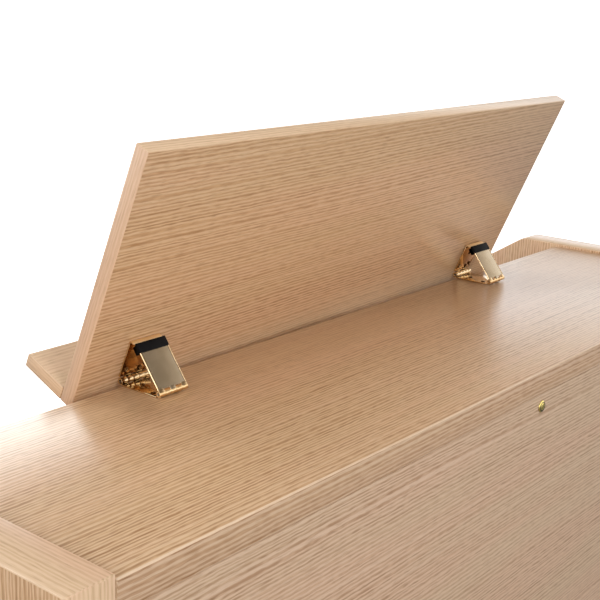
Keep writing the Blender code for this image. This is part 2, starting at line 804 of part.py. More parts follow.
def build_stop_tabs(ivory):
    """Groups of rocking tabs, each group on a bar behind the rail."""
    middle = rail_length() / 2
    for name, count, centre in TAB_GROUPS:
        places = tab_places(count, centre)
        low = places[0] - TAB_WIDTH / 2 - TAB_BAR_OVERHANG
        high = places[-1] + TAB_WIDTH / 2 + TAB_BAR_OVERHANG
        bar = rods(name, [((low, 0.0, 0.0), (high, 0.0, 0.0))], TAB_BAR_RADIUS, 12, ivory)
        face = TAB_AXIS_BEHIND + TAB_STAND
        half = TAB_WIDTH / 2
        neck = half - RUN
        reach = TAB_LENGTH / 2
        back = face - TAB_THICKNESS
        necks = []
        plates = []
        for x in places:
            necks.append(((x - neck, -TAB_NECK / 2, 0.0), (x + neck, TAB_NECK / 2, face - RUN)))
            plates.append(((x - half, -reach, back), (x + half, reach, face)))
        fuse(bar, boxes("tab_necks", necks))
        fuse(bar, boxes("tab_faces", plates))
        axis = rail_place() @ Vector((0.0, middle, -TAB_AXIS_BEHIND))
        bar.data.transform(Matrix.Rotation(STOP_RAIL_ANGLE, 4, "X"))
        bar.location = axis


def shoe_axis():
    """Depth and height of the swell shoe's axle."""
    return KNEE_PANEL_DEPTH + SHOE_REACH, SHOE_HEIGHT


def build_swell_shoe(steel, rubber):
    """Bracket with its axle on the knee panel, and the shoe that tilts on it."""
    depth, height = shoe_axis()
    base = KNEE_PANEL_DEPTH + GAP
    half = BRACKET_HEIGHT / 2
    outline = [(y_at(base), height - half), (y_at(base), height + half)]
    for i in range(9):
        turn = pi * i / 8
        outline.append((y_at(depth + BOSS_RADIUS * sin(turn)), height + BOSS_RADIUS * cos(turn)))
    bracket = prism("swell_shoe_bracket", outline, -BRACKET_WIDTH / 2, BRACKET_WIDTH / 2, steel)
    lug = BRACKET_WIDTH / 2 + RUN
    axle_half = lug + SHOE_LUG_WIDTH + RUN
    ends = [((-axle_half, y_at(depth), height), (axle_half, y_at(depth), height))]
    axle = rods("axle", ends, AXLE_RADIUS, 20)
    fuse(bracket, axle)
    shoe = box(
        "swell_shoe",
        (-SHOE_WIDTH / 2, -SHOE_LENGTH / 2, SHOE_OVER_AXLE),
        (SHOE_WIDTH / 2, SHOE_LENGTH / 2, SHOE_OVER_AXLE + SHOE_THICKNESS),
        rubber,
    )
    lugs = [((x, -BOSS_RADIUS, -BOSS_RADIUS), (x + SHOE_LUG_WIDTH, BOSS_RADIUS, SHOE_OVER_AXLE + RUN))
            for x in (lug, -lug - SHOE_LUG_WIDTH)]
    fuse(shoe, boxes("lugs", lugs))
    ends = [((-SHOE_WIDTH, 0.0, 0.0), (SHOE_WIDTH, 0.0, 0.0))]
    cut(shoe, rods("axle_bore", ends, AXLE_RADIUS + AXLE_CLEARANCE, 20))
    shoe.data.transform(Matrix.Rotation(SHOE_ANGLE, 4, "X"))
    shoe.location = (0.0, y_at(depth), height)


def build_speakers(black, cloth):
    """Grille on the knee panel's front and two drivers behind its holes."""
    centred(
        "speaker_grille",
        (0.0, y_at(KNEE_PANEL_DEPTH + GAP + GRILLE_THICKNESS / 2), SPEAKER_HEIGHT),
        (GRILLE_WIDTH, GRILLE_THICKNESS, GRILLE_HEIGHT),
        cloth,
    )
    rear_face = KNEE_PANEL_DEPTH - KNEE_PANEL_THICKNESS
    mouth = SPEAKER_HOLE_RADIUS - RUN
    profile = [
        (0.0, SPEAKER_CONE_DEPTH),
        (mouth - SPEAKER_SURROUND, SPEAKER_FLANGE),
        (mouth, GAP),
        (SPEAKER_RADIUS, GAP),
        (SPEAKER_RADIUS, SPEAKER_FLANGE),
        (SPEAKER_BASKET_RADIUS, SPEAKER_FLANGE),
        (SPEAKER_MAGNET_RADIUS, SPEAKER_BASKET_DEPTH),
        (SPEAKER_MAGNET_RADIUS, SPEAKER_DEPTH),
        (0.0, SPEAKER_DEPTH),
    ]
    turn = Matrix.Rotation(-pi / 2, 4, "X")
    for name, x in (("treble_speaker", SPEAKER_X), ("bass_speaker", -SPEAKER_X)):
        place = Matrix.Translation((x, y_at(rear_face), SPEAKER_HEIGHT)) @ turn
        turned(name, profile, 28, place, black)


def build_electronics(steel, black, green):
    """Amplifier and power supply on the bottom board, sound board on the back panel, connector plate."""
    floor = BOTTOM_BOARD_UNDERSIDE + BOTTOM_BOARD_THICKNESS + GAP
    amplifier = centred(
        "amplifier",
        (AMPLIFIER_X, y_at(CAVITY_MIDDLE), floor + AMPLIFIER_HEIGHT / 2),
        (AMPLIFIER_WIDTH, AMPLIFIER_DEPTH, AMPLIFIER_HEIGHT),
        black,
    )
    fin = AMPLIFIER_WIDTH / (2 * AMPLIFIER_FIN_COUNT)
    half = AMPLIFIER_DEPTH / 2 - RUN
    low = floor + AMPLIFIER_HEIGHT - RUN
    fins = []
    for i in range(AMPLIFIER_FIN_COUNT):
        x = AMPLIFIER_X - AMPLIFIER_WIDTH / 2 + fin / 2 + 2 * fin * i
        fins.append((
            (x, y_at(CAVITY_MIDDLE + half), low),
            (x + fin, y_at(CAVITY_MIDDLE - half), floor + AMPLIFIER_HEIGHT + AMPLIFIER_FIN_HEIGHT),
        ))
    fuse(amplifier, boxes("fins", fins))
    centred(
        "power_supply",
        (SUPPLY_X, y_at(CAVITY_MIDDLE), floor + SUPPLY_HEIGHT / 2),
        (SUPPLY_WIDTH, SUPPLY_DEPTH, SUPPLY_HEIGHT),
        steel,
    )
    build_sound_board(green)


def build_sound_board(green):
    """Circuit board on stand-offs behind the back panel, with its larger chips."""
    inner = BACK_INSIDE + STANDOFF_LENGTH
    outer = inner + SOUND_BOARD_THICKNESS
    board = centred(
        "sound_board",
        (0.0, y_at((inner + outer) / 2), SOUND_BOARD_Z),
        (SOUND_BOARD_WIDTH, SOUND_BOARD_THICKNESS, SOUND_BOARD_HEIGHT),
        green,
    )
    across = SOUND_BOARD_WIDTH / 2 - STANDOFF_INSET
    up = SOUND_BOARD_HEIGHT / 2 - STANDOFF_INSET
    corners = [(x, SOUND_BOARD_Z + z) for x in (-across, across) for z in (-up, up)]
    middle = inner + SOUND_BOARD_THICKNESS / 2
    ends = [((x, y_at(middle), z), (x, y_at(BACK_INSIDE), z)) for x, z in corners]
    fuse(board, rods("standoffs", ends, STANDOFF_RADIUS, 10))
    chips = []
    for i in range(CHIP_COUNT):
        x = SOUND_BOARD_WIDTH * ((i + 0.5) / CHIP_COUNT - 0.5)
        chips.append((
            (x - CHIP_WIDTH / 2, y_at(outer + CHIP_THICKNESS), SOUND_BOARD_Z - CHIP_HEIGHT / 2),
            (x + CHIP_WIDTH / 2, y_at(middle), SOUND_BOARD_Z + CHIP_HEIGHT / 2),
        ))
    fuse(board, boxes("chips", chips))


def build_connector_plate(black):
    """Block in the back panel's opening, with the mains inlet and two round sockets."""
    plate = centred(
        "connector_plate",
        (CONNECTOR_X, y_at(CONNECTOR_RECESS + CONNECTOR_DEPTH / 2), CONNECTOR_Z),
        (CONNECTOR_WIDTH, CONNECTOR_DEPTH, CONNECTOR_HEIGHT),
        black,
    )
    floor = CONNECTOR_RECESS + SOCKET_DEPTH
    inlet = centred(
        "inlet",
        (CONNECTOR_X + INLET_OFFSET, y_at(floor / 2), CONNECTOR_Z),
        (INLET_WIDTH, floor, INLET_HEIGHT),
    )
    cut(plate, inlet)
    places = [CONNECTOR_X + offset for offset in SOCKET_OFFSETS]
    ends = [((x, y_at(floor), CONNECTOR_Z), (x, y_at(0.0), CONNECTOR_Z)) for x in places]
    cut(plate, rods("sockets", ends, SOCKET_RADIUS, 20))


def build_back_screw(brass):
    """Raised screw head in its cup washer, with its shank in the back panel's hole."""
    profile = [
        (0.0, -SCREW_SHANK_LENGTH),
        (SCREW_SHANK_RADIUS, -SCREW_SHANK_LENGTH),
        (SCREW_SHANK_RADIUS, GAP),
        (CUP_RADIUS, GAP),
        (CUP_RADIUS, CUP_RIM),
        (SCREW_HEAD_RADIUS, CUP_HEIGHT),
        (SCREW_SHOULDER_RADIUS, SCREW_SHOULDER_HEIGHT),
        (0.0, SCREW_HEAD_HEIGHT),
    ]
    place = Matrix.Translation((SCREW_X, y_at(0.0), TOP_HEIGHT - SCREW_BELOW_TOP))
    turned("back_panel_screw", profile, 20, place @ Matrix.Rotation(-pi / 2, 4, "X"), brass)


def finish_on_pivot(thing):
    """Lean a desk piece, modelled upright about the pivot, back to its resting angle."""
    thing.data.transform(Matrix.Rotation(-DESK_LEAN, 4, "X"))
    thing.location = (0.0, y_at(PIVOT_DEPTH), PIVOT_HEIGHT)


def build_music_desk(oak):
    """Desk board and the ledge that stands off its front at the foot."""
    rear = -FACE_TO_PIVOT
    front = rear - DESK_THICKNESS
    low = -DESK_BELOW_PIVOT
    board = box(
        "music_desk_board",
        (-DESK_WIDTH / 2, front, low),
        (DESK_WIDTH / 2, rear, low + DESK_HEIGHT),
        oak,
    )
    soften(board)
    finish_on_pivot(board)
    ledge = box(
        "music_desk_ledge",
        (-DESK_WIDTH / 2, front - GAP - LEDGE_DEPTH, low),
        (DESK_WIDTH / 2, front - GAP, low + LEDGE_THICKNESS),
        oak,
    )
    soften(ledge)
    finish_on_pivot(ledge)


def knuckle_span(x, index):
    """X range of one knuckle, numbered from the bass end."""
    pitch = HINGE_WIDTH / KNUCKLE_COUNT
    low = x - HINGE_WIDTH / 2 + index * pitch
    start = low + (KNUCKLE_CLEARANCE / 2 if index > 0 else 0.0)
    end = low + pitch - (KNUCKLE_CLEARANCE / 2 if index < KNUCKLE_COUNT - 1 else 0.0)
    return start, end


def knuckles(x, indices, y, z, radius):
    """Hinge knuckles as separate rods on one axis."""
    spans = [knuckle_span(x, i) for i in indices]
    return rods("knuckles", [((a, y, z), (b, y, z)) for a, b in spans], radius, 16)


def bore(x, y, z):
    """Cutter for a hinge pin's bore."""
    reach = HINGE_WIDTH / 2 + RUN
    return rods("bore", [((x - reach, y, z), (x + reach, y, z))], HINGE_BORE_RADIUS, 12)


def hinge_pin(name, x, depth, height, steel):
    """One hinge pin across a hinge's width."""
    half = HINGE_WIDTH / 2
    ends = [((x - half, y_at(depth), height), (x + half, y_at(depth), height))]
    rods(name, ends, HINGE_PIN_RADIUS, 12, steel, smooth=True)


def build_base_leaf(name, x, brass):
    """Leaf screwed to the top panel: three knuckles at the desk's pivot, two at the stay's foot."""
    low = TOP_HEIGHT + GAP
    high = low + LEAF_THICKNESS
    front = y_at(PIVOT_DEPTH - PIVOT_KNUCKLE_RADIUS - KNUCKLE_CLEARANCE)
    rear = y_at(FOOT_PIN_DEPTH + FOOT_KNUCKLE_RADIUS + KNUCKLE_CLEARANCE)
    leaf = box(name, (x - HINGE_WIDTH / 2, front, low), (x + HINGE_WIDTH / 2, rear, high), brass)
    tongues = []
    for i in (0, 2, 4):
        start, end = knuckle_span(x, i)
        tongues.append(((start, y_at(PIVOT_DEPTH), low + GAP), (end, front + RUN, high + GAP)))
    for i in (1, 3):
        start, end = knuckle_span(x, i)
        tongues.append(((start, rear - RUN, low + GAP), (end, y_at(FOOT_PIN_DEPTH), high + GAP)))
    fuse(leaf, boxes("tongues", tongues))
    fuse(leaf, knuckles(x, (0, 2, 4), y_at(PIVOT_DEPTH), PIVOT_HEIGHT, PIVOT_KNUCKLE_RADIUS))
    fuse(leaf, knuckles(x, (1, 3), y_at(FOOT_PIN_DEPTH), FOOT_PIN_HEIGHT, FOOT_KNUCKLE_RADIUS))
    cut(leaf, bore(x, y_at(PIVOT_DEPTH), PIVOT_HEIGHT))
    cut(leaf, bore(x, y_at(FOOT_PIN_DEPTH), FOOT_PIN_HEIGHT))


def build_desk_leaf(name, x, brass):
    """Leaf screwed to the desk board's rear, with the lip that the stay stands under."""
    inner = -FACE_TO_PIVOT + GAP
    outer = inner + LEAF_THICKNESS
    start = PIVOT_KNUCKLE_RADIUS + KNUCKLE_CLEARANCE
    half = HINGE_WIDTH / 2
    leaf = box(name, (x - half, inner, start), (x + half, outer, LIP_FROM_PIVOT), brass)
    tongues = []
    for i in (1, 3):
        low, high = knuckle_span(x, i)
        tongues.append(((low, inner + GAP, 0.0), (high, outer - GAP, start + RUN)))
    fuse(leaf, boxes("tongues", tongues))
    lip = box(
        "lip",
        (x - half + GAP, inner + LEAF_THICKNESS / 2, LIP_FROM_PIVOT - LEAF_THICKNESS - GAP),
        (x + half - GAP, LIP_REACH, LIP_FROM_PIVOT - GAP),
    )
    fuse(leaf, lip)
    fuse(leaf, knuckles(x, (1, 3), 0.0, 0.0, PIVOT_KNUCKLE_RADIUS))
    cut(leaf, bore(x, 0.0, 0.0))
    finish_on_pivot(leaf)


def stay_turn():
    """Rotation that raises the stay from lying rearward to its standing angle."""
    return Matrix.Rotation(STAY_ANGLE, 4, "X")


def finish_on_foot(thing):
    """Raise a stay piece about its foot pin, and put its origin there."""
    thing.data.transform(stay_turn())
    thing.location = (0.0, y_at(FOOT_PIN_DEPTH), FOOT_PIN_HEIGHT)


def build_stay(name, x, brass):
    """Stay leaf, hinged at its foot, modelled lying rearward with its outer face down."""
    outer = -STAY_OUTER_FACE
    inner = outer + LEAF_THICKNESS
    start = FOOT_KNUCKLE_RADIUS + KNUCKLE_CLEARANCE
    stay = box(name, (x - HINGE_WIDTH / 2, start, outer), (x + HINGE_WIDTH / 2, STAY_LENGTH, inner), brass)
    tongues = []
    for i in (0, 2, 4):
        low, high = knuckle_span(x, i)
        tongues.append(((low, 0.0, outer + GAP), (high, start + RUN, inner - GAP)))
    fuse(stay, boxes("tongues", tongues))
    fuse(stay, knuckles(x, (0, 2, 4), 0.0, 0.0, FOOT_KNUCKLE_RADIUS))
    cut(stay, bore(x, 0.0, 0.0))
    finish_on_foot(stay)


def build_cap(name, x, rubber):
    """Rubber cap that sleeves the stay's free end."""
    outer = -STAY_OUTER_FACE
    inner = outer + LEAF_THICKNESS
    end = STAY_LENGTH + CAP_OVER_END
    cap = box(
        name,
        (x - HINGE_WIDTH / 2 - CAP_OUTER, end - CAP_LENGTH, outer - CAP_OUTER),
        (x + HINGE_WIDTH / 2 + CAP_OUTER, end, inner + CAP_INNER),
        rubber,
    )
    slot = box(
        "cap_slot",
        (x - HINGE_WIDTH / 2 - GAP, end - CAP_LENGTH - RUN, outer - GAP),
        (x + HINGE_WIDTH / 2 + GAP, STAY_LENGTH + GAP, inner + GAP),
    )
    cut(cap, slot)
    finish_on_foot(cap)


def build_hinges(brass, rubber, steel):
    """Both music desk hinges with their pins."""
    for end, x in (("treble", HINGE_X), ("bass", -HINGE_X)):
        build_base_leaf(end + "_hinge_base_leaf", x, brass)
        build_desk_leaf(end + "_hinge_desk_leaf", x, brass)
        build_stay(end + "_hinge_stay", x, brass)
        build_cap(end + "_hinge_stay_cap", x, rubber)
        hinge_pin(end + "_hinge_pivot_pin", x, PIVOT_DEPTH, PIVOT_HEIGHT, steel)
        hinge_pin(end + "_hinge_foot_pin", x, FOOT_PIN_DEPTH, FOOT_PIN_HEIGHT, steel)


def build_pedal_frame(oak):
    """Frame of two cheeks, a toe rail, an under rail, and the heel's rails, wall and cover."""
    toe = PEDALBOARD_REAR
    heel = OVERALL_DEPTH
    half = PEDAL_FRAME_HALF
    cheek = half - PEDAL_CHEEK_THICKNESS
    reach = cheek + RUN
    floor = RUN
    top = PEDAL_CHEEK_HEIGHT - RUN
    frame = box("pedalboard_frame", (cheek, y_at(heel), 0.0), (half, y_at(toe), PEDAL_CHEEK_HEIGHT), oak)
    toe_rail = toe + PEDAL_RAIL_DEPTH
    fuse(frame, box("toe_rail", (-reach, y_at(toe_rail), floor), (reach, y_at(toe + RUN), top)))
    fuse(frame, box("bass_cheek", (-half, y_at(heel), 0.0), (-cheek, y_at(toe), PEDAL_CHEEK_HEIGHT)))
    under = toe + PEDAL_UNDER_RAIL_FROM_TOE
    under_front = under + PEDAL_UNDER_RAIL_DEPTH
    sharp_seat = PEDAL_SHARP_LEVEL - PEDAL_SHARP_THICKNESS - PEDAL_BAR_CLEARANCE
    cover = PEDAL_CHEEK_HEIGHT - HEEL_COVER_THICKNESS
    cover_front = heel - HEEL_COVER_DEPTH
    across = [
        ((-reach, y_at(under_front), floor), (reach, y_at(under), PEDAL_UNDER_RAIL_HEIGHT)),
        ((-reach, y_at(heel - RUN), floor), (reach, y_at(cover_front), sharp_seat)),
        ((-reach, y_at(heel - RUN), cover), (reach, y_at(cover_front), top)),
    ]
    fuse(frame, boxes("across", across))
    reach += RUN
    low = sharp_seat - RUN
    natural_seat = PEDAL_TOP - PEDAL_THICKNESS - PEDAL_BAR_CLEARANCE
    seat = heel - NATURAL_PIVOT_FROM_HEEL
    half_seat = PEDAL_BAR_DEPTH / 2 - RUN
    upright = [
        ((-reach, y_at(heel - 2 * RUN), low), (reach, y_at(heel - HEEL_WALL), cover + RUN)),
        ((-reach, y_at(seat + half_seat), low), (reach, y_at(seat - half_seat), natural_seat)),
    ]
    fuse(frame, boxes("upright", upright))


def pedal_x(index):
    """X of the centre of one natural pedal."""
    return (index - (PEDAL_COUNT - 1) / 2) * PEDAL_PITCH


def build_pedals(name, places, width, level, thickness, from_heel, cap_top, wood):
    """Pedals side by side on their common pivot bar, with raised caps where they are sharps."""
    pivot = OVERALL_DEPTH - from_heel
    toe = PEDALBOARD_REAR + PEDAL_RAIL_DEPTH + PEDAL_TOE_CLEARANCE
    low = level - thickness
    half = width / 2
    bar = box(
        name,
        (places[0] - half, y_at(pivot + PEDAL_BAR_DEPTH / 2), low),
        (places[-1] + half, y_at(pivot - PEDAL_BAR_DEPTH / 2), level),
        wood,
    )
    beams = []
    caps = []
    cap_end = toe + PEDAL_CAP_LENGTH
    for x in places:
        beams.append(((x - half + GAP, y_at(pivot), low + GAP), (x + half - GAP, y_at(toe), level - GAP)))
        caps.append(((x - half, y_at(cap_end), level - RUN), (x + half, y_at(toe + GAP), cap_top)))
    fuse(bar, boxes("beams", beams))
    if cap_top > level:
        fuse(bar, boxes("caps", caps))
    place_joint_origin(bar, (0.0, y_at(pivot), (low + level) / 2))


def build_pedalboard(oak, beech, ebony):
    """Flat pedalboard: the frame, and two groups each of naturals and sharps."""
    build_pedal_frame(oak)
    naturals = [pedal_x(i) for i in range(PEDAL_COUNT)]
    sharps = [pedal_x(i) - PEDAL_PITCH / 2 for i in range(1, PEDAL_COUNT) if i % 7 in SHARP_NUDGES]
    for kind, places in (("naturals", naturals), ("sharps", sharps)):
        middle = len(places) // 2
        for end, group in (("bass", places[:middle]), ("treble", places[middle:])):
            name = "pedal_" + kind + "_" + end
            if kind == "naturals":
                build_pedals(name, group, PEDAL_WIDTH, PEDAL_TOP, PEDAL_THICKNESS,
                             NATURAL_PIVOT_FROM_HEEL, PEDAL_TOP, beech)
            else:
                build_pedals(name, group, PEDAL_SHARP_WIDTH, PEDAL_SHARP_LEVEL, PEDAL_SHARP_THICKNESS,
                             SHARP_PIVOT_FROM_HEEL, PEDAL_CAP_TOP, ebony)


def build_slips_and_pistons(oak, ivory):
    """Both key slips with their rows of thumb pistons."""
    low = BED_UNDERSIDE - KEY_SLIP_BELOW_BED
    high = LOWER_KEY_TOP - KEY_SLIP_BELOW_KEYS
    build_slip("key_slip", SLIP_FRONT, SLIP_REAR, low, high, BOARD_HALF, oak)
    build_pistons("lower_pistons", SLIP_FRONT, (low + high) / 2, ivory)
    high = UPPER_KEY_TOP - KEY_THICKNESS - KEY_TRAVEL - RUN
    low = high - UPPER_SLIP_HEIGHT
    front = UPPER_KEY_FRONT - RUN
    rear = UPPER_KEY_FRONT - UPPER_SLIP_DEPTH
    build_slip("upper_key_slip", front, rear, low, high, JAMB_INNER - GAP, oak)
    build_pistons("upper_pistons", front, (low + high) / 2, ivory)


def main():
    """Build every piece of the organ."""
    clear_scene()
    oak = make_material("light_oak", (0.55, 0.37, 0.22), 0.35)
    beech = make_material("pedal_beech", (0.62, 0.45, 0.28), 0.40)
    ebony = make_material("ebony", (0.03, 0.025, 0.02), 0.35)
    ivory = make_material("ivory", (0.85, 0.82, 0.72), 0.30)
    brass = make_material("brass", (0.75, 0.55, 0.25), 0.22, 1.0)
    steel = make_material("steel", (0.55, 0.56, 0.58), 0.35, 1.0)
    rubber = make_material("rubber", (0.02, 0.02, 0.02), 0.60)
    black = make_material("black_plastic", (0.03, 0.03, 0.035), 0.45)
    cloth = make_material("grille_cloth", (0.16, 0.11, 0.07), 0.90)
    green = make_material("circuit_board", (0.05, 0.22, 0.10), 0.50)
    build_top_panel(oak)
    build_back_panel(oak)
    build_sides(oak)
    build_lower_case(oak)
    build_slips_and_pistons(oak, ivory)
    treble_jamb, bass_jamb = build_jambs(oak)
    build_volume_knob(bass_jamb, black)
    build_power_button(treble_jamb, black)
    build_manual("lower", LOWER_KEY_FRONT, LOWER_KEY_TOP, ivory, steel)
    build_manual("upper", UPPER_KEY_FRONT, UPPER_KEY_TOP, ivory, steel)
    build_stop_rail(oak)
    build_stop_tabs(ivory)
    build_swell_shoe(steel, rubber)
    build_speakers(black, cloth)
    build_electronics(steel, black, green)
    build_connector_plate(black)
    build_back_screw(brass)
    build_music_desk(oak)
    build_hinges(brass, rubber, steel)
    build_pedalboard(oak, beech, ebony)


if __name__ == "__main__":
    main()
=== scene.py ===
"""Looks of an electronic organ console with a folding music desk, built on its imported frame.

Metres, +Z up. The player sits at -Y and looks along +Y; +X is the treble end. Depths are
measured forward from the back panel's outer face, as in the part's source.
"""

import logging
from dataclasses import dataclass
from enum import Enum
from math import cos, hypot, pi, radians, sin
from typing import Callable, Iterable, Optional, Sequence, Union

import bmesh
import bpy
from mathutils import Matrix, Vector


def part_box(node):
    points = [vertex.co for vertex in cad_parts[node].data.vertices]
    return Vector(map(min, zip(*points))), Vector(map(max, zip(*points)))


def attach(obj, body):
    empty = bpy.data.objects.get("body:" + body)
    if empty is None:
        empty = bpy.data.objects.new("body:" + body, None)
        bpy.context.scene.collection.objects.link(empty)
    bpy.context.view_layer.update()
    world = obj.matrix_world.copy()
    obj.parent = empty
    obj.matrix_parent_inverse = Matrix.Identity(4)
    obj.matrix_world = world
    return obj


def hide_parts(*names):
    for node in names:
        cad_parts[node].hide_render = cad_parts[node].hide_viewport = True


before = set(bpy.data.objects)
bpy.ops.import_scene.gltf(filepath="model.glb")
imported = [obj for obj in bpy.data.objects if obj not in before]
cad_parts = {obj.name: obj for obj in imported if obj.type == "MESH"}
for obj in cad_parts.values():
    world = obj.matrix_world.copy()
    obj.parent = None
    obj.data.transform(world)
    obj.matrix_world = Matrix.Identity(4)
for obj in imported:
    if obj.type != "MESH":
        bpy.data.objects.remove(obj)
LOG = logging.getLogger("organ")
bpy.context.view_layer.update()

Pair = tuple[float, float]
Triple = tuple[float, float, float]
Object = bpy.types.Object
Socket = bpy.types.NodeSocket
Value = Union[Socket, float, Sequence[float]]

# Stations and turns that several sub-assemblies share
BACK_Y = 0.5087
TOP_Z = 1.000
DESK_LEAN = radians(23.2)
TO_REAR = Matrix.Rotation(-pi / 2, 4, "X")
TO_FRONT = Matrix.Rotation(pi / 2, 4, "X")
TO_TREBLE = Matrix.Rotation(pi / 2, 4, "Y")

# Map's name, shared colours, distance for merging points, cosine above which a face looks along an axis
GRAIN_MAP = "grain"
WHITE = (1.0, 1.0, 1.0, 1.0)
PORE = (118, 80, 54)
MERGE = 1e-6
SQUARE_ON = 0.95


def at(depth: float) -> float:
    """World Y of a depth measured forward from the back face."""
    return BACK_Y - depth


def hung(centre: Pair, angle: float) -> Matrix:
    """A turn about X, then a move to a Y and a Z."""
    return Matrix.Translation((0.0, *centre)) @ Matrix.Rotation(angle, 4, "X")


def tint(colour: Sequence[float]) -> tuple[float, ...]:
    """Linear colour, with full alpha, of a display colour from 0 to 255."""
    shares = [value / 255.0 for value in colour]
    return (*(s / 12.92 if s <= 0.04045 else ((s + 0.055) / 1.055) ** 2.4 for s in shares), 1.0)


def linked(name: str, data: bpy.types.ID) -> Object:
    """Put new data into the scene.

    Args:
        name: Object's name.
        data: Mesh, light or camera.

    Returns:
        The new object, at the origin.
    """
    made = bpy.data.objects.new(name, data)
    bpy.context.scene.collection.objects.link(made)
    return made


def baked(piece: Object) -> bpy.types.Mesh:
    """A plain mesh of a piece as its modifiers leave it."""
    bpy.context.view_layer.update()
    return bpy.data.meshes.new_from_object(piece.evaluated_get(bpy.context.evaluated_depsgraph_get()))


def carve(piece: Object, tool: Object, own: bool = False) -> None:
    """Cut a tool's shape out of a piece, and remove the tool.

    Args:
        piece: Piece that is cut.
        tool: Closed shape.
        own: Whether the tool crosses itself.
    """
    step = piece.modifiers.new("cut", "BOOLEAN")
    step.object, step.solver, step.use_self = tool, "EXACT", own
    piece.data = baked(piece)
    piece.modifiers.clear()
    bpy.data.objects.remove(tool, do_unlink=True)


def deliver(piece: Object, body: str, slot: str, *nodes: str) -> None:
    """Let a piece ride on its body and stand for its nodes.

    Args:
        piece: Finished piece.
        body: Body that it moves with.
        slot: Record's material slot; not used.
        *nodes: Frame nodes that it replaces.
    """
    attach(piece, body)
    if nodes:
        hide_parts(*nodes)
    LOG.info("%s on %s: %d faces", piece.name, body, len(piece.data.polygons))


class Axis(Enum):
    """One axis of a board's own frame."""

    X = 0
    Y = 1
    Z = 2


class Edges(Enum):
    """What covers a board's edges."""

    BANDED = "a paler band on every edge"
    # Arrises paler than the veneer are a painted highlight line
    VENEERED = "the face veneer, with paler arrises"


class Wear(Enum):
    """How a metal was finished: the cells in each metre along X, Y and Z, and the relief's depth."""

    BRUSHED = ((60.0, 4200.0, 4200.0), 0.000003)
    POLISHED = ((900.0, 900.0, 900.0), 0.000001)
    CAST = ((380.0, 380.0, 380.0), 0.00006)


class Graph:
    """Short calls for building the nodes of a tree."""

    tree: bpy.types.NodeTree

    def feed(self, socket: Socket, value: Value) -> None:
        """Link a socket to another one, or set its constant.

        Args:
            socket: Input that is fed.
            value: Socket or constant.
        """
        if isinstance(value, Socket):
            self.tree.links.new(value, socket)
        else:
            socket.default_value = value

    def node(self, kind: str, feeds: dict[Union[int, str], Value], **settings: object) -> bpy.types.NodeOutputs:
        """Add a node.

        Args:
            kind: Node's type.
            feeds: Sockets and constants for its inputs, by index or name.
            **settings: Node's properties.

        Returns:
            The node's outputs.
        """
        made = self.tree.nodes.new(kind)
        for key, value in settings.items():
            setattr(made, key, value)
        for key, value in feeds.items():
            self.feed(made.inputs[key], value)
        return made.outputs


class ShaderGraph(Graph):
    """The nodes of one material or world."""

    def __init__(self, owner: Union[bpy.types.Material, bpy.types.World], shader: str = "Principled BSDF") -> None:
        """Start the nodes.

        Args:
            owner: Material or world.
            shader: Name of the shader that it comes with.
        """
        owner.use_nodes = True
        self.owner, self.tree = owner, owner.node_tree
        self.shader = self.tree.nodes[shader]

    def math(self, operation: str, first: Value, second: Value = 0.0, third: Value = 0.5) -> Socket:
        """Result of one step of arithmetic."""
        return self.node("ShaderNodeMath", {0: first, 1: second, 2: third}, operation=operation)[0]

    def times(self, first: Value, second: Value) -> Socket:
        """Product of two numbers."""
        return self.math("MULTIPLY", first, second)

    def plus(self, first: Value, second: Value) -> Socket:
        """Sum of two numbers."""
        return self.math("ADD", first, second)

    def vector(self, operation: str, first: Value, second: Value = (0.0, 0.0, 0.0)) -> bpy.types.NodeOutputs:
        """Outputs of one step of vector arithmetic."""
        return self.node("ShaderNodeVectorMath", {0: first, 1: second}, operation=operation)

    def pack(self, x: Value, y: Value, z: Value) -> Socket:
        """A vector of three numbers."""
        return self.node("ShaderNodeCombineXYZ", {0: x, 1: y, 2: z})[0]

    def split(self, vector: Socket) -> bpy.types.NodeOutputs:
        """The three numbers of a vector."""
        return self.node("ShaderNodeSeparateXYZ", {0: vector})

    def place(self) -> Socket:
        """Position in the piece's own frame, in metres."""
        return self.node("ShaderNodeTexCoord", {})["Object"]

    def noise(self, vector: Socket, scale: float, detail: float, rough: float) -> Socket:
        """Noise from 0 to 1 with a number of cells in each unit, finer layers and their strength."""
        feeds = {"Vector": vector, "Scale": scale, "Detail": detail, "Roughness": rough}
        return self.node("ShaderNodeTexNoise", feeds)[0]

    def span(self, value: Socket, low: Value, high: Value, out_low: Value = 0.0, out_high: Value = 1.0,
             kind: str = "SMOOTHSTEP") -> Socket:
        """Map the range from low to high to another one."""
        feeds = dict(enumerate((value, low, high, out_low, out_high)))
        return self.node("ShaderNodeMapRange", feeds, interpolation_type=kind)[0]

    def mix(self, factor: Value, first: Value, second: Value) -> Socket:
        """Blend two colours; the factor is the share of the second one."""
        return self.node("ShaderNodeMix", {0: factor, 6: first, 7: second}, data_type="RGBA")[2]

    def bump(self, height: Socket, depth: float, strength: float) -> None:
        """Relief from a height between 0 and 1, with its depth in metres and how much of it shows."""
        feeds = {"Strength": strength, "Distance": depth, "Height": height}
        self.feed(self.shader.inputs["Normal"], self.node("ShaderNodeBump", feeds)[0])

    def surface(self, **feeds: Value) -> None:
        """Feed the shader.

        Args:
            **feeds: Sockets and constants by input name, with underscores for spaces.
        """
        for key, value in feeds.items():
            self.feed(self.shader.inputs[key.replace("_", " ")], value)


@dataclass(frozen=True)
class Finish:
    """A finish by name. Its material is made once and shared."""

    name: str

    def material(self) -> bpy.types.Material:
        """The finish's material, made at its first use.

        Returns:
            The material.
        """
        if self.name not in bpy.data.materials:
            self.paint(ShaderGraph(bpy.data.materials.new(self.name)))
        return bpy.data.materials[self.name]

    def paint(self, graph: ShaderGraph) -> None:
        """Build the finish's nodes; each finish has its own."""
        raise NotImplementedError


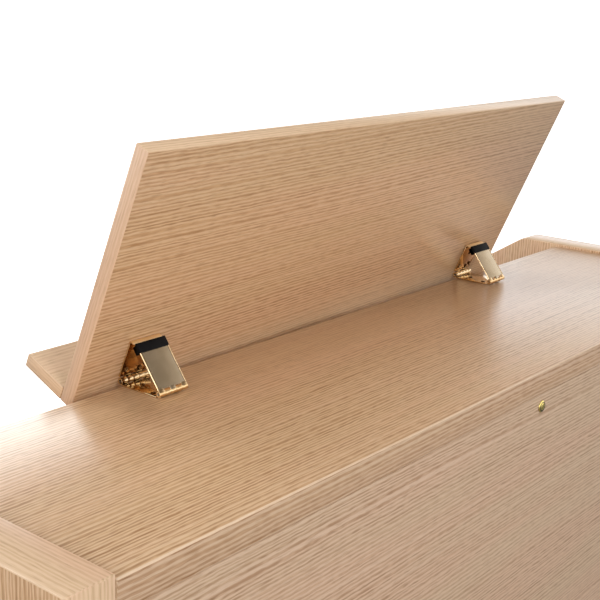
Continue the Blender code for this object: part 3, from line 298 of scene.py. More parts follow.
@dataclass(frozen=True)
class Oak(Finish):
    """Lacquered oak veneer: growth rings cut lengthwise, open pores in them, soft bands of colour."""

    ground: Triple = (202, 164, 123)
    warm: Triple = (205, 163, 125)
    dark: Triple = (147, 101, 53)
    light: Triple = (224, 199, 167)
    ring: float = 0.0047
    length: float = 0.60
    drift: float = 0.018
    grain: Optional[Axis] = None
    contrast: float = 1.0
    coat: float = 1.0

    def fibres(self, graph: ShaderGraph) -> tuple[Socket, Socket]:
        """Coordinates along and across the fibres.

        Args:
            graph: Nodes of the material.

        Returns:
            Metres along the fibres and metres across them.
        """
        if self.grain is None:
            parts = graph.split(graph.node("ShaderNodeUVMap", {}, uv_map=GRAIN_MAP)[0])
            return parts[0], parts[1]
        parts = graph.split(graph.place())
        first, second = [parts[i] for i in range(3) if i != self.grain.value]
        return parts[self.grain.value], graph.math("MULTIPLY_ADD", second, 0.83, first)

    def paint(self, graph: ShaderGraph) -> None:
        """Build the veneer's nodes.

        Args:
            graph: Nodes of the material.
        """
        along, across = self.fibres(graph)

        def field(low: float, high: float, seed: float, place: Socket, detail: float = 1.0) -> Socket:
            """Noise drawn out along the fibres, with its cells in each metre along and across them."""
            return graph.noise(graph.pack(graph.times(along, low), graph.times(place, high), seed), 1.0, detail, 0.55)

        def swung(base: Socket, noise: Socket, size: float) -> Socket:
            """A number that noise shifts to both sides."""
            return graph.plus(base, graph.times(graph.math("SUBTRACT", noise, 0.5), size))

        bent = swung(across, field(0.9, 4.0, 3.1, across), self.drift)
        bent = swung(bent, field(9.0, 26.0, 5.2, across), 0.0030)
        bent = swung(bent, field(60.0, 140.0, 7.7, across), 0.0018)
        phase = swung(graph.math("DIVIDE", bent, self.ring), field(0.35, 42.0, 9.4, bent, 2.0), 2.8)
        phase = swung(phase, field(0.8, 130.0, 13.6, bent), 0.9)
        turn, number = graph.math("FRACT", phase), graph.math("FLOOR", phase)
        band = graph.times(graph.span(turn, 0.0, 0.30), graph.span(turn, 0.80, 0.36))
        power = graph.span(field(1.0 / self.length, 7.31, 0.0, number, 2.0), 0.32, 0.62, 0.25)
        broken = graph.span(field(52.0, 280.0, 53.0, bent), 0.34, 0.60, 0.22)
        zone = graph.span(field(1.1, 11.0, 61.0, bent), 0.34, 0.66, 0.65, 1.30)
        lines = graph.times(graph.times(band, power), graph.times(broken, zone))
        threads = graph.span(field(48.0, 560.0, 11.0, bent, 2.0), 0.50, 0.72)
        hairs = graph.span(field(80.0, 1500.0, 17.0, bent), 0.46, 0.74)
        patches = graph.span(field(1.3, 15.0, 23.0, bent, 2.0), 0.38, 0.62)
        pores = graph.span(field(62.0, 2100.0, 31.0, bent, 0.0), 0.56, 0.72)
        pores = graph.times(pores, graph.span(band, 0.0, 1.0, 0.25))
        rays = graph.span(field(34.0, 430.0, 41.0, bent), 0.62, 0.75)
        base = graph.mix(patches, tint(self.ground), tint(self.warm))
        base = graph.mix(graph.span(band, 0.55, 0.0, 0.0, 0.40 * self.contrast), base, tint(self.light))
        for mask, share, colour in ((lines, 0.72, self.dark), (threads, 0.36, self.dark), (hairs, 0.20, self.dark),
                                    (pores, 0.34, PORE), (rays, 0.24, self.light)):
            base = graph.mix(graph.times(mask, share * self.contrast), base, tint(colour))
        graph.bump(graph.math("SUBTRACT", graph.times(threads, -0.4), graph.times(pores, 0.6)), 0.00008, 0.5)
        graph.surface(Base_Color=base, Roughness=graph.span(lines, 0.0, 1.0, 0.36, 0.48), Specular_IOR_Level=0.12,
                      Coat_Weight=self.coat, Coat_Roughness=0.28)


@dataclass(frozen=True)
class Plain(Finish):
    """A moulded, painted or cast surface with faint mottling, dust and fine relief."""

    colour: Triple
    second: Triple
    roughness: float = 0.35
    cell: float = 0.02
    relief: float = 0.00002
    coat: float = 0.0
    shine: float = 0.5

    def paint(self, graph: ShaderGraph) -> None:
        """Build the surface's nodes.

        Args:
            graph: Nodes of the material.
        """
        place = graph.place()
        cloud = graph.noise(place, 1.0 / self.cell, 3.0, 0.55)
        graph.bump(graph.noise(place, 1400.0, 1.0, 0.5), self.relief, 0.6)
        graph.surface(
            Base_Color=graph.mix(graph.span(cloud, 0.35, 0.65), tint(self.colour), tint(self.second)),
            Roughness=graph.span(cloud, 0.3, 0.7, self.roughness - 0.05, self.roughness + 0.06),
            Coat_Weight=self.coat, Coat_Roughness=0.12, Specular_IOR_Level=self.shine)


@dataclass(frozen=True)
class Metal(Finish):
    """Brass or steel, brushed, polished or cast, a little darker in random clouds and streaks."""

    colour: Triple
    shade: Triple
    roughness: float
    wear: Wear = Wear.POLISHED
    streaks: float = 0.35

    def paint(self, graph: ShaderGraph) -> None:
        """Build the metal's nodes.

        Args:
            graph: Nodes of the material.
        """
        cells, depth = self.wear.value
        place, shade, spread = graph.place(), tint(self.shade), 0.2 * self.streaks
        lines = graph.noise(graph.vector("MULTIPLY", place, cells)[0], 1.0, 2.0, 0.6)
        cloud = graph.noise(place, 60.0, 2.0, 0.5)
        colour = graph.mix(graph.span(cloud, 0.25, 0.85, 0.0, 0.8), tint(self.colour), shade)
        colour = graph.mix(graph.span(lines, 0.35, 0.8, 0.0, self.streaks), colour, shade)
        rough = graph.span(lines, 0.3, 0.7, self.roughness - spread / 2, self.roughness + spread)
        graph.bump(lines, depth, 0.6)
        graph.surface(Base_Color=colour, Roughness=rough, Metallic=1.0)


@dataclass(frozen=True)
class Weave(Finish):
    """Loudspeaker cloth: two sets of threads that pass over and under each other."""

    colour: Triple = (66, 48, 36)
    thread: float = 0.0011

    def paint(self, graph: ShaderGraph) -> None:
        """Build the cloth's nodes.

        Args:
            graph: Nodes of the material.
        """
        parts = graph.split(graph.place())
        warp, weft = [graph.math("SINE", graph.times(parts[i], 2 * pi / self.thread)) for i in (0, 2)]
        dark, plain, light = [tint([part * share for part in self.colour]) for share in (0.45, 1.0, 1.35)]
        height = graph.span(graph.times(warp, weft), -1.0, 1.0)
        mottle = graph.span(graph.noise(graph.place(), 90.0, 3.0, 0.6), 0.35, 0.7, 0.0, 0.35)
        graph.bump(height, 0.0003, 0.8)
        # The low points of the weave take the dark tone: painted shade between the threads
        graph.surface(Base_Color=graph.mix(mottle, graph.mix(height, dark, plain), light), Roughness=0.9,
                      Sheen_Weight=0.25)


@dataclass(frozen=True)
class Circuit(Finish):
    """Green circuit board with copper tracks under its mask."""

    pitch: float = 0.006

    def paint(self, graph: ShaderGraph) -> None:
        """Build the board's nodes.

        Args:
            graph: Nodes of the material.
        """
        feeds = {"Vector": graph.place(), "Scale": 1.0 / self.pitch}
        cells = graph.node("ShaderNodeTexVoronoi", feeds, distance="MANHATTAN", feature="DISTANCE_TO_EDGE")
        track = graph.span(cells[0], 0.05, 0.12)
        graph.bump(track, 0.00005, 0.5)
        graph.surface(Base_Color=graph.mix(track, tint((64, 124, 72)), tint((24, 84, 46))), Roughness=0.35,
                      Coat_Weight=0.4, Coat_Roughness=0.15)


OAK = Oak("oak_veneer")
OAK_SLATS = Oak("oak_slats", grain=Axis.Z, contrast=0.8)
# Paler oak: the real edge band of banded boards, and a painted highlight on the arrises of veneered boards
OAK_EDGE_BAND_AND_HIGHLIGHT = Oak("oak_edge_band", (216, 184, 148), (218, 180, 148), (182, 142, 104), (234, 206, 176),
               ring=0.0046, drift=0.004, contrast=0.6)
# Back panel's veneer, greyer and paler than the top's: a painted whitish sheen
OAK_BACK_PAINTED_SHEEN = Oak("oak_back_veneer", (203, 172, 140), (207, 170, 140), (151, 110, 74), (226, 203, 178))
# Paler oak on the ledge: painted light that lifts it out of the desk board's shadow
OAK_LEDGE_PAINTED_LIGHT = Oak("oak_ledge", (228, 200, 162), (230, 196, 162), (190, 148, 108), (240, 216, 186), contrast=0.6)
# Paler oak on the top panel's upper arrises: a painted highlight line
OAK_ARRIS_HIGHLIGHT = Oak("oak_arris", (219, 190, 159), (217, 187, 156), (194, 160, 126), (228, 204, 176), contrast=0.4)
# Darker oak on the top panel's rear face: painted shade, a band without the back panel's sheen
OAK_REAR_PAINTED_SHADE = Oak("oak_rear_edge", (191, 156, 122), (194, 156, 124), (140, 97, 56), (213, 190, 165))
BEECH = Oak("beech_pedals", (218, 180, 142), (214, 170, 136), (182, 134, 98), (228, 194, 158),
            ring=0.0040, length=0.30, grain=Axis.Y, contrast=0.7, coat=0.5)
EBONY = Plain("ebonised_wood", (30, 26, 24), (22, 19, 18), 0.34, cell=0.006, coat=0.2)
IVORY = Plain("ivory_key_plastic", (232, 227, 210), (226, 219, 199), 0.24, coat=0.3)
BLACK = Plain("black_plastic", (34, 34, 36), (26, 26, 28), 0.42, relief=0.00004)
RUBBER = Plain("black_rubber", (9, 8, 9), (6, 5, 6), 0.55, cell=0.01, relief=0.00005, shine=0.10)
BRASS = Metal("polished_brass", (238, 214, 174), (208, 176, 130), 0.12)
# Darker brass on the desk leaf's faces: a painted dim reflection
BRASS_PAINTED_DIM = Metal("deep_brass", (204, 158, 100), (158, 110, 62), 0.17)
BRASS_PLATE = Metal("brushed_brass", (200, 185, 160), (184, 168, 140), 0.26, Wear.BRUSHED, 0.06)
BRASS_SATIN = Metal("satin_brass", (246, 216, 168), (230, 194, 142), 0.42)
BRASS_ROLLED = Metal("rolled_brass", (248, 218, 168), (228, 188, 130), 0.30)
# Dark brass as painted shade: round the hinge screws' heads, in their recesses and in lines along the stay
BRASS_PAINTED_SHADE = Metal("aged_brass", (112, 78, 44), (74, 48, 26), 0.34)
BRASS_YELLOW = Metal("yellow_brass", (252, 232, 148), (216, 186, 98), 0.26)
STEEL = Metal("zinc_steel", (168, 170, 174), (132, 134, 140), 0.32, Wear.CAST)
SILVER = Metal("bright_steel", (196, 190, 180), (150, 142, 130), 0.18)
CLOTH = Weave("loudspeaker_cloth")
BOARD_GREEN = Circuit("circuit_board")


def arc(centre: Pair, radius: float, start: float, end: float, steps: int) -> list[Pair]:
    """Points of an arc from one angle to another, in degrees."""
    angles = [radians(start + (end - start) * i / steps) for i in range(steps + 1)]
    return [(centre[0] + radius * cos(a), centre[1] + radius * sin(a)) for a in angles]


def rounded(left: float, right: float, low: float, high: float, radius: float, steps: int) -> list[Pair]:
    """Outline of a rectangle whose corners are rounded in a number of steps."""
    corners = zip((right - radius, left + radius, left + radius, right - radius),
                  (high - radius, high - radius, low + radius, low + radius), (0, 90, 180, 270))
    return [point for x, y, start in corners for point in arc((x, y), radius, start, start + 90, steps)]


def strip(path: Sequence[Pair], thickness: float) -> list[Pair]:
    """Outline of a bent strip of metal.

    Args:
        path: Middle line of the strip.
        thickness: Strip's thickness.

    Returns:
        The closed outline, one side after the other.
    """
    points = [Vector(p) for p in path]
    left, right = [], []
    for before, here, after in zip(points[:1] + points, points, points[1:] + points[-1:]):
        along = (after - before).normalized()
        side = Vector((-along.y, along.x)) * thickness / 2
        left.append(tuple(here + side))
        right.append(tuple(here - side))
    return left + right[::-1]


class Form:
    """A mesh that grows by closed shapes, each in the current material slot, and ends as a named piece."""

    def __init__(self) -> None:
        """Start empty, at the first slot."""
        self.bm, self.slot = bmesh.new(), 0

    def bevel(self, edges: Iterable[bmesh.types.BMEdge], offset: float, segments: int = 2) -> None:
        """Round edges off by an offset."""
        bmesh.ops.bevel(self.bm, geom=list(edges), offset=offset, segments=segments, profile=0.5, affect="EDGES",
                        clamp_overlap=True)

    def sharp(self, limit: float) -> list[bmesh.types.BMEdge]:
        """Edges between two faces that turn by more than an angle in degrees."""
        return [e for e in self.bm.edges if len(e.link_faces) == 2 and e.calc_face_angle(0.0) > radians(limit)]

    def move(self, place: Matrix) -> None:
        """Transform all that is there."""
        bmesh.ops.transform(self.bm, matrix=place, verts=self.bm.verts[:])

    def paint_new(self, before: set[bmesh.types.BMFace]) -> None:
        """Give the faces that weren't there before the current slot."""
        for face in set(self.bm.faces) - before:
            face.material_index = self.slot

    def block(self, low: Triple, high: Triple, soft: float = 0.0, segments: int = 2) -> None:
        """Add a box with rounded edges.

        Args:
            low: Lowest corner.
            high: Highest corner.
            soft: Width of the rounding.
            segments: Steps of the rounding.
        """
        before = set(self.bm.faces)
        low, high = Vector(low), Vector(high)
        place = Matrix.Translation((low + high) / 2) @ Matrix.Diagonal((*(high - low), 1.0))
        made = bmesh.ops.create_cube(self.bm, size=1.0, matrix=place)["verts"]
        if soft > 0.0:
            self.bevel({edge for vert in made for edge in vert.link_edges}, soft, segments)
        self.paint_new(before)

    def turned(self, profile: Sequence[Pair], sides: int, place: Matrix, closed: bool = False,
               ripple: Callable[[float, float], float] = lambda angle, height: 1.0) -> None:
        """Add a profile that is turned about Z.

        Args:
            profile: Radius and height of each ring, from one pole to the other or round a section.
            sides: Points in each ring.
            place: Where the shape goes.
            closed: Whether the last ring joins the first one.
            ripple: Factor on the radius at an angle and a height.
        """
        rings = []
        for radius, height in profile:
            turns = [2 * pi * i / sides for i in range(sides)] if radius else [0.0]
            spots = [(radius * ripple(a, height), a) for a in turns]
            rings.append([self.bm.verts.new(place @ Vector((r * cos(a), r * sin(a), height))) for r, a in spots])
        for lower, upper in zip(rings, rings[1:] + rings[:1] if closed else rings[1:]):
            for i in range(sides):
                j = (i + 1) % sides
                corners = [lower[i % len(lower)], lower[j % len(lower)], upper[j % len(upper)], upper[i % len(upper)]]
                self.bm.faces.new(dict.fromkeys(corners))

    def extruded(self, outline: Sequence[Pair], axis: Axis, low: float, high: float, soft: float = 0.0) -> None:
        """Add a flat outline that is pushed along one axis.

        Args:
            outline: Points in the other two axes, in their order.
            axis: Axis that the outline is pushed along.
            low: Where it starts.
            high: Where it ends.
            soft: Rounding of its edges.
        """
        before = set(self.bm.faces)
        ring = [self.bm.verts.new((*p[:axis.value], low, *p[axis.value:])) for p in outline]
        grown = bmesh.ops.extrude_face_region(self.bm, geom=[self.bm.faces.new(ring)])["geom"]
        push = Vector((0.0, 0.0, 0.0))
        push[axis.value] = high - low
        bmesh.ops.translate(self.bm, verts=[v for v in grown if isinstance(v, bmesh.types.BMVert)], vec=push)
        if soft > 0.0:
            new = [face for face in self.bm.faces if face not in before]
            bmesh.ops.recalc_face_normals(self.bm, faces=new)
            own = {edge for face in new for edge in face.edges}
            self.bevel([edge for edge in self.sharp(30.0) if edge in own], soft)
        self.paint_new(before)

    def lay_grain(self, thin: Axis, grain: Axis, turn: Matrix, edges: Edges, shift: Pair) -> None:
        """Write the grain's map in metres and give edges the second material.

        Args:
            thin: Axis of the board's thickness in its own frame.
            grain: Axis of the fibres in its own frame.
            turn: Rotation from the board's frame to the world.
            edges: What covers the faces that don't lie flat.
            shift: Start of the pattern, so that two boards differ.
        """
        layer = self.bm.loops.layers.uv.new(GRAIN_MAP)
        back, unit = turn.inverted().to_3x3(), Matrix.Identity(3)
        other = ({0, 1, 2} - {thin.value, grain.value}).pop()
        for face in self.bm.faces:
            normal = back @ face.normal
            flat = abs(normal[thin.value]) > SQUARE_ON
            square = max(abs(part) for part in normal) > SQUARE_ON
            # On veneered boards the slanted arris faces get the paler second finish as a painted highlight; on banded
            # boards it is the edge band
            if not flat and not (edges is Edges.VENEERED and square):
                face.material_index = 1
            along, across = unit[grain.value], unit[other]
            if not flat:
                across = unit[thin.value]
                along = across.cross(normal)
                along = along.normalized() if along.length > 0.01 else unit[0]
            for loop in face.loops:
                local = back @ loop.vert.co
                loop[layer].uv = (local.dot(along) + shift[0], local.dot(across) + shift[1])

    def piece(self, name: str, *finishes: Finish, recalc: bool = True, flat_area: float = 6e-4,
              limit: float = 38.0) -> Object:
        """End the mesh as an object.

        Args:
            name: Piece's name.
            *finishes: Finish of each material slot.
            recalc: Whether the normals are recalculated.
            flat_area: Faces above this area keep their own flat normal.
            limit: Angle in degrees above which an edge stays sharp.

        Returns:
            The object, at the origin.
        """
        if recalc:
            bmesh.ops.recalc_face_normals(self.bm, faces=self.bm.faces[:])
        for face in self.bm.faces:
            face.smooth = face.calc_area() < flat_area
        mesh = bpy.data.meshes.new(name)
        self.bm.to_mesh(mesh)
        self.bm.free()
        if "custom_normal" in mesh.attributes:
            mesh.attributes.remove(mesh.attributes["custom_normal"])
        mesh.set_sharp_from_angle(angle=radians(limit))
        for finish in finishes:
            mesh.materials.append(finish.material())
        return linked(name, mesh)


class GeometryTree(Graph):
    """A Geometry Nodes tree with named inputs, whose result is made a plain mesh."""

    def __init__(self, name: str) -> None:
        """Start a tree that takes and gives geometry.

        Args:
            name: Tree's name.
        """
        self.tree = bpy.data.node_groups.new(name, "GeometryNodeTree")
        for side in ("INPUT", "OUTPUT"):
            self.tree.interface.new_socket("Geometry", in_out=side, socket_type="NodeSocketGeometry")
        self.source = self.tree.nodes.new("NodeGroupInput")
        self.target = self.tree.nodes.new("NodeGroupOutput")
        copies = self.build()
        real = self.node("GeometryNodeRealizeInstances", {"Geometry": copies})
        feeds = {"Geometry": real[0], "Material": self.size("Finish", "Material")}
        self.feed(self.target.inputs[0], self.node("GeometryNodeSetMaterial", feeds)[0])

    def build(self) -> Socket:
        """Add the tree's nodes and give the copies; each tree has its own."""
        raise NotImplementedError

    def size(self, name: str, kind: str, value: Optional[float] = None) -> Socket:
        """Add a named input.

        Args:
            name: Input's name.
            kind: Socket type without its prefix.
            value: Default, where the type has one.

        Returns:
            The input's socket inside the tree.
        """
        made = self.tree.interface.new_socket(name, in_out="INPUT", socket_type="NodeSocket" + kind)
        if value is not None:
            made.default_value = value
        return self.source.outputs[name]

    def run(self, start: Object, name: str, finish: Finish, **values: object) -> Object:
        """Evaluate the tree on an object and keep the result as a plain mesh.

        Args:
            start: Object that the tree starts from; it is removed.
            name: Name of the result.
            finish: Finish of the whole result.
            **values: Inputs by name, with underscores for spaces.

        Returns:
            A new object at the origin, with no modifier.
        """
        modifier = start.modifiers.new("tree", "NODES")
        modifier.node_group = self.tree
        sockets = {item.name: item.identifier for item in self.tree.interface.items_tree if item.in_out == "INPUT"}
        for key, value in {**values, "Finish": finish.material()}.items():
            modifier[sockets[key.replace("_", " ")]] = value
        mesh = baked(start)
        start.modifiers.remove(modifier)
        bpy.data.objects.remove(start, do_unlink=True)
        mesh.name = name
        return linked(name, mesh)


class RowTree(GeometryTree):
    """Copies of the starting mesh in a straight row."""

    def build(self) -> Socket:
        """Mesh Line, then one copy on each point.

        Returns:
            The copies.
        """
        line = self.node("GeometryNodeMeshLine", {
            "Count": self.size("Count", "Int", 2), "Start Location": self.size("First", "Vector"),
            "Offset": self.size("Step", "Vector")}, mode="OFFSET")
        feeds = {"Points": line[0], "Instance": self.source.outputs["Geometry"]}
        return self.node("GeometryNodeInstanceOnPoints", feeds)[0]

    def line(self, item: Object, name: str, finish: Finish, count: int, pitch: float, x: float = 0.0,
             y: float = 0.0, z: float = 0.0) -> Object:
        """A number of copies along X, on both sides of a place."""
        first = (x - (count - 1) / 2 * pitch, y, z)
        return self.run(item, name, finish, Count=count, First=first, Step=(pitch, 0.0, 0.0))


class ScatterTree(GeometryTree):
    """Copies of another object on the starting mesh's points, each turned a little about one axis."""

    def build(self) -> Socket:
        """One copy on each point, turned by a random angle from a fixed seed.

        Returns:
            The copies.
        """
        item = self.node("GeometryNodeObjectInfo", {"Object": self.size("Item", "Object")})
        angle = self.node("FunctionNodeRandomValue", {
            "Max": self.size("Largest Turn", "Float", 0.0), "Seed": self.size("Seed", "Int", 7)}, data_type="FLOAT")
        turn = self.node("FunctionNodeAxisAngleToRotation", {
            "Axis": self.size("Axis", "Vector"), "Angle": angle["Value"]})
        return self.node("GeometryNodeInstanceOnPoints", {
            "Points": self.source.outputs["Geometry"], "Instance": item["Geometry"], "Rotation": turn[0]})[0]

    def spread(self, item: Object, places: Iterable[Triple], name: str, finish: Finish, seed: int,
               turn: float = 0.0, axis: Triple = (0.0, 0.0, 1.0)) -> Object:
        """Put a copy of an item on each place, and remove the item.

        Args:
            item: Object that is copied.
            places: Where the copies go.
            name: Name of the result.
            finish: Finish of all copies.
            seed: Seed of the random turns.
            turn: Largest turn.
            axis: Axis of the turns.

        Returns:
            A new object that holds all copies.
        """
        points = Form()
        for place in places:
            points.bm.verts.new(place)
        made = self.run(points.piece("points"), name, finish, Item=item, Largest_Turn=turn, Seed=seed, Axis=axis)
        bpy.data.objects.remove(item, do_unlink=True)
        return made


ROW = RowTree("copies_in_a_row")
SCATTER = ScatterTree("copies_on_points")


@dataclass(frozen=True)
class Board:
    """A wooden board that keeps its node's shape and gets arrises, grain and edge bands."""

    node: str
    thin: Axis
    grain: Axis
    shift: Pair = (0.0, 0.0)
    arris: float = 0.0
    tilt: float = 0.0
    body: str = "console"
    edges: Edges = Edges.BANDED
    shortest: float = 0.016
    flush: bool = False
    joint: float = 0.0016
    veneer: Oak = OAK
    run_out: float = 0.0

    def form(self) -> Form:
        """A merged copy of the node's mesh, its long sharp edges rounded but not the rims of holes.

        Returns:
            The board's form.
        """
        form = Form()
        form.bm.from_mesh(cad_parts[self.node].data)
        bmesh.ops.remove_doubles(form.bm, verts=form.bm.verts[:], dist=MERGE)
        if self.arris > 0.0:
            form.bevel([edge for edge in form.sharp(40.0) if edge.calc_length() > self.shortest], self.arris)
        return form

    def close_joint(self, form: Form) -> None:
        """Make the lower rear arris square, so that the joint below it is a hairline.

        Args:
            form: Board's form.
        """
        bm = form.bm
        low, rear = min(v.co.z for v in bm.verts), max(v.co.y for v in bm.verts)
        for v in bm.verts:
            if v.co.z < low + self.joint and v.co.y > rear - self.joint:
                v.co.y, v.co.z = rear, low
        bmesh.ops.remove_doubles(bm, verts=bm.verts[:], dist=MERGE)
        bmesh.ops.dissolve_degenerate(bm, dist=1e-5, edges=bm.edges[:])

    def build(self) -> None:
        """Make the board and hand it over."""
        form = self.form()
        finishes = (self.veneer, OAK_EDGE_BAND_AND_HIGHLIGHT)
        if self.flush:
            self.close_joint(form)
            finishes += (OAK_ARRIS_HIGHLIGHT, OAK_REAR_PAINTED_SHADE)
        form.bm.normal_update()
        turn = Matrix.Rotation(self.tilt, 4, "X") @ Matrix.Rotation(self.run_out, 4, self.thin.name)
        form.lay_grain(self.thin, self.grain, turn, self.edges, self.shift)
        # On the top panel the upper arrises get a painted highlight and the rear face a painted shade
        for face in form.bm.faces:
            if self.flush and abs(face.normal.y) > 0.1 and face.normal.z > 0.1:
                face.material_index = 2
            elif self.flush and face.normal.y > 0.9:
                face.material_index = 3
        piece = form.piece(self.node + ".wood", *finishes, recalc=False)
        deliver(piece, self.body, "light_oak", self.node)


@dataclass
class Boards:
    """Boards of one sub-assembly."""

    boards: tuple[Board, ...]

    def build(self) -> None:
        """Make every board."""
        for board in self.boards:
            board.build()


@dataclass
class Cabinet(Boards):
    """The console's boards and the kept frame nodes inside it."""

    boards: tuple[Board, ...] = (
        Board("top_panel", Axis.Z, Axis.X, (3.1, 0.4), edges=Edges.VENEERED, flush=True),
        Board("back_panel", Axis.Y, Axis.X, (5.3, 1.7), edges=Edges.VENEERED, veneer=OAK_BACK_PAINTED_SHEEN),
        Board("treble_side", Axis.X, Axis.Z, (1.9, 2.2)),
        Board("bass_side", Axis.X, Axis.Z, (7.7, 2.9)),
        Board("knee_panel", Axis.Y, Axis.X, (9.1, 3.3)),
        Board("key_bed", Axis.Z, Axis.X, (2.3, 4.1), 0.0010),
        Board("bottom_board", Axis.Z, Axis.X, (4.4, 4.7)),
        Board("key_slip", Axis.Y, Axis.X, (6.5, 5.2), 0.0008),
        Board("upper_key_slip", Axis.Y, Axis.X, (8.6, 5.6), 0.0006),
        Board("stop_rail", Axis.Z, Axis.X, (1.2, 6.3), 0.0006, radians(45.0)),
        Board("treble_jamb", Axis.Z, Axis.Y, (2.8, 7.1), 0.0010),
        Board("bass_jamb", Axis.Z, Axis.Y, (3.9, 7.7), 0.0010))
    kept: tuple[tuple[Finish, tuple[str, ...]], ...] = (
        (STEEL, ("lower_manual_chassis", "upper_manual_chassis", "swell_shoe_bracket", "power_supply")),
        (BLACK, ("amplifier", "treble_speaker", "bass_speaker")),
        (BOARD_GREEN, ("sound_board",)),
        (SILVER, ("treble_hinge_pivot_pin", "bass_hinge_pivot_pin", "treble_hinge_foot_pin", "bass_hinge_foot_pin")))

    def build(self) -> None:
        """Make every board and dress the kept nodes."""
        super().build()
        for finish, names in self.kept:
            for name in names:
                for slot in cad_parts[name].material_slots:
                    slot.material = finish.material()
                LOG.info("%s keeps its node, in %s", name, finish.name)


@dataclass
class BackScrews:
    """Raised brass screws in cup washers that hold the back panel."""

    cup_radius: float = 0.0073
    head_radius: float = 0.0052
    proud: float = 0.0026
    cross: Pair = (0.0024, 0.0004)
    turn: float = radians(24.0)
    sides: int = 28
    seed: int = 11
    places: tuple[Pair, ...] = ((-0.017, 0.9548), (-0.617, 0.9548), (-0.617, 0.500), (0.617, 0.500),
                                (-0.617, 0.045), (0.0, 0.045), (0.617, 0.045))

    def item(self) -> Object:
        """One screw in its cup, pointing along +Y.

        Returns:
            The screw.
        """
        cup, head, proud = self.cup_radius, self.head_radius, self.proud
        form = Form()
        form.turned([(0.0, 0.0004), (cup - 0.0006, 0.0003), (cup, 0.0005), (cup - 0.0001, 0.0009),
                     (cup - 0.0012, 0.0016), (head + 0.0004, 0.0018), (head - 0.0002, 0.0013), (0.0, 0.0012)],
                    self.sides, TO_REAR)
        form.turned([(0.0, 0.0010), (head - 0.0004, 0.0012), (head, 0.0016), (head * 0.86, 0.0021),
                     (head * 0.55, proud - 0.0001), (0.0, proud)], self.sides, TO_REAR)
        return form.piece("screw_item", BRASS_YELLOW)

    def build(self) -> None:
        """Put one screw at each place, with a black cross and ring as painted shade in its recess and round its head.
        """
        points = [(x, BACK_Y, z) for x, z in self.places]
        screws = SCATTER.spread(self.item(), points, "back_screws", BRASS_YELLOW, self.seed, 2 * pi, (0.0, 1.0, 0.0))
        deliver(screws, "console", "brass", "back_panel_screw")
        head, proud = self.head_radius, self.proud
        for i, place in enumerate(points):
            # Black blocks paint the shade of a cross recess, and a black ring paints the shadow between the head and
            # the cup
            form = Form()
            for x, z in (self.cross, self.cross[::-1]):
                form.block((-x, proud - 0.0006, -z), (x, proud - 0.00004, z), 0.0001, 1)
            form.turned([(head + 0.0003, 0.0014), (head + 0.0007, 0.0019), (head - 0.0002, 0.0020),
                         (head - 0.0005, 0.0014)], self.sides, TO_REAR, closed=True)
            form.move(Matrix.Translation(place) @ Matrix.Rotation(self.turn, 4, "Y"))
            deliver(form.piece("back_screw_recess_" + str(i), BLACK), "console", "brass")


@dataclass
class MusicDesk(Boards):
    """The leaning board and its ledge, made in the desk's own leaning frame."""

    boards: tuple[Board, ...] = (
        Board("music_desk_board", Axis.Y, Axis.X, (11.3, 8.2), tilt=-DESK_LEAN, body="music_desk",
              run_out=radians(1.8)),
        Board("music_desk_ledge", Axis.Z, Axis.X, (12.6, 9.4), tilt=-DESK_LEAN, body="music_desk",
              veneer=OAK_LEDGE_PAINTED_LIGHT))


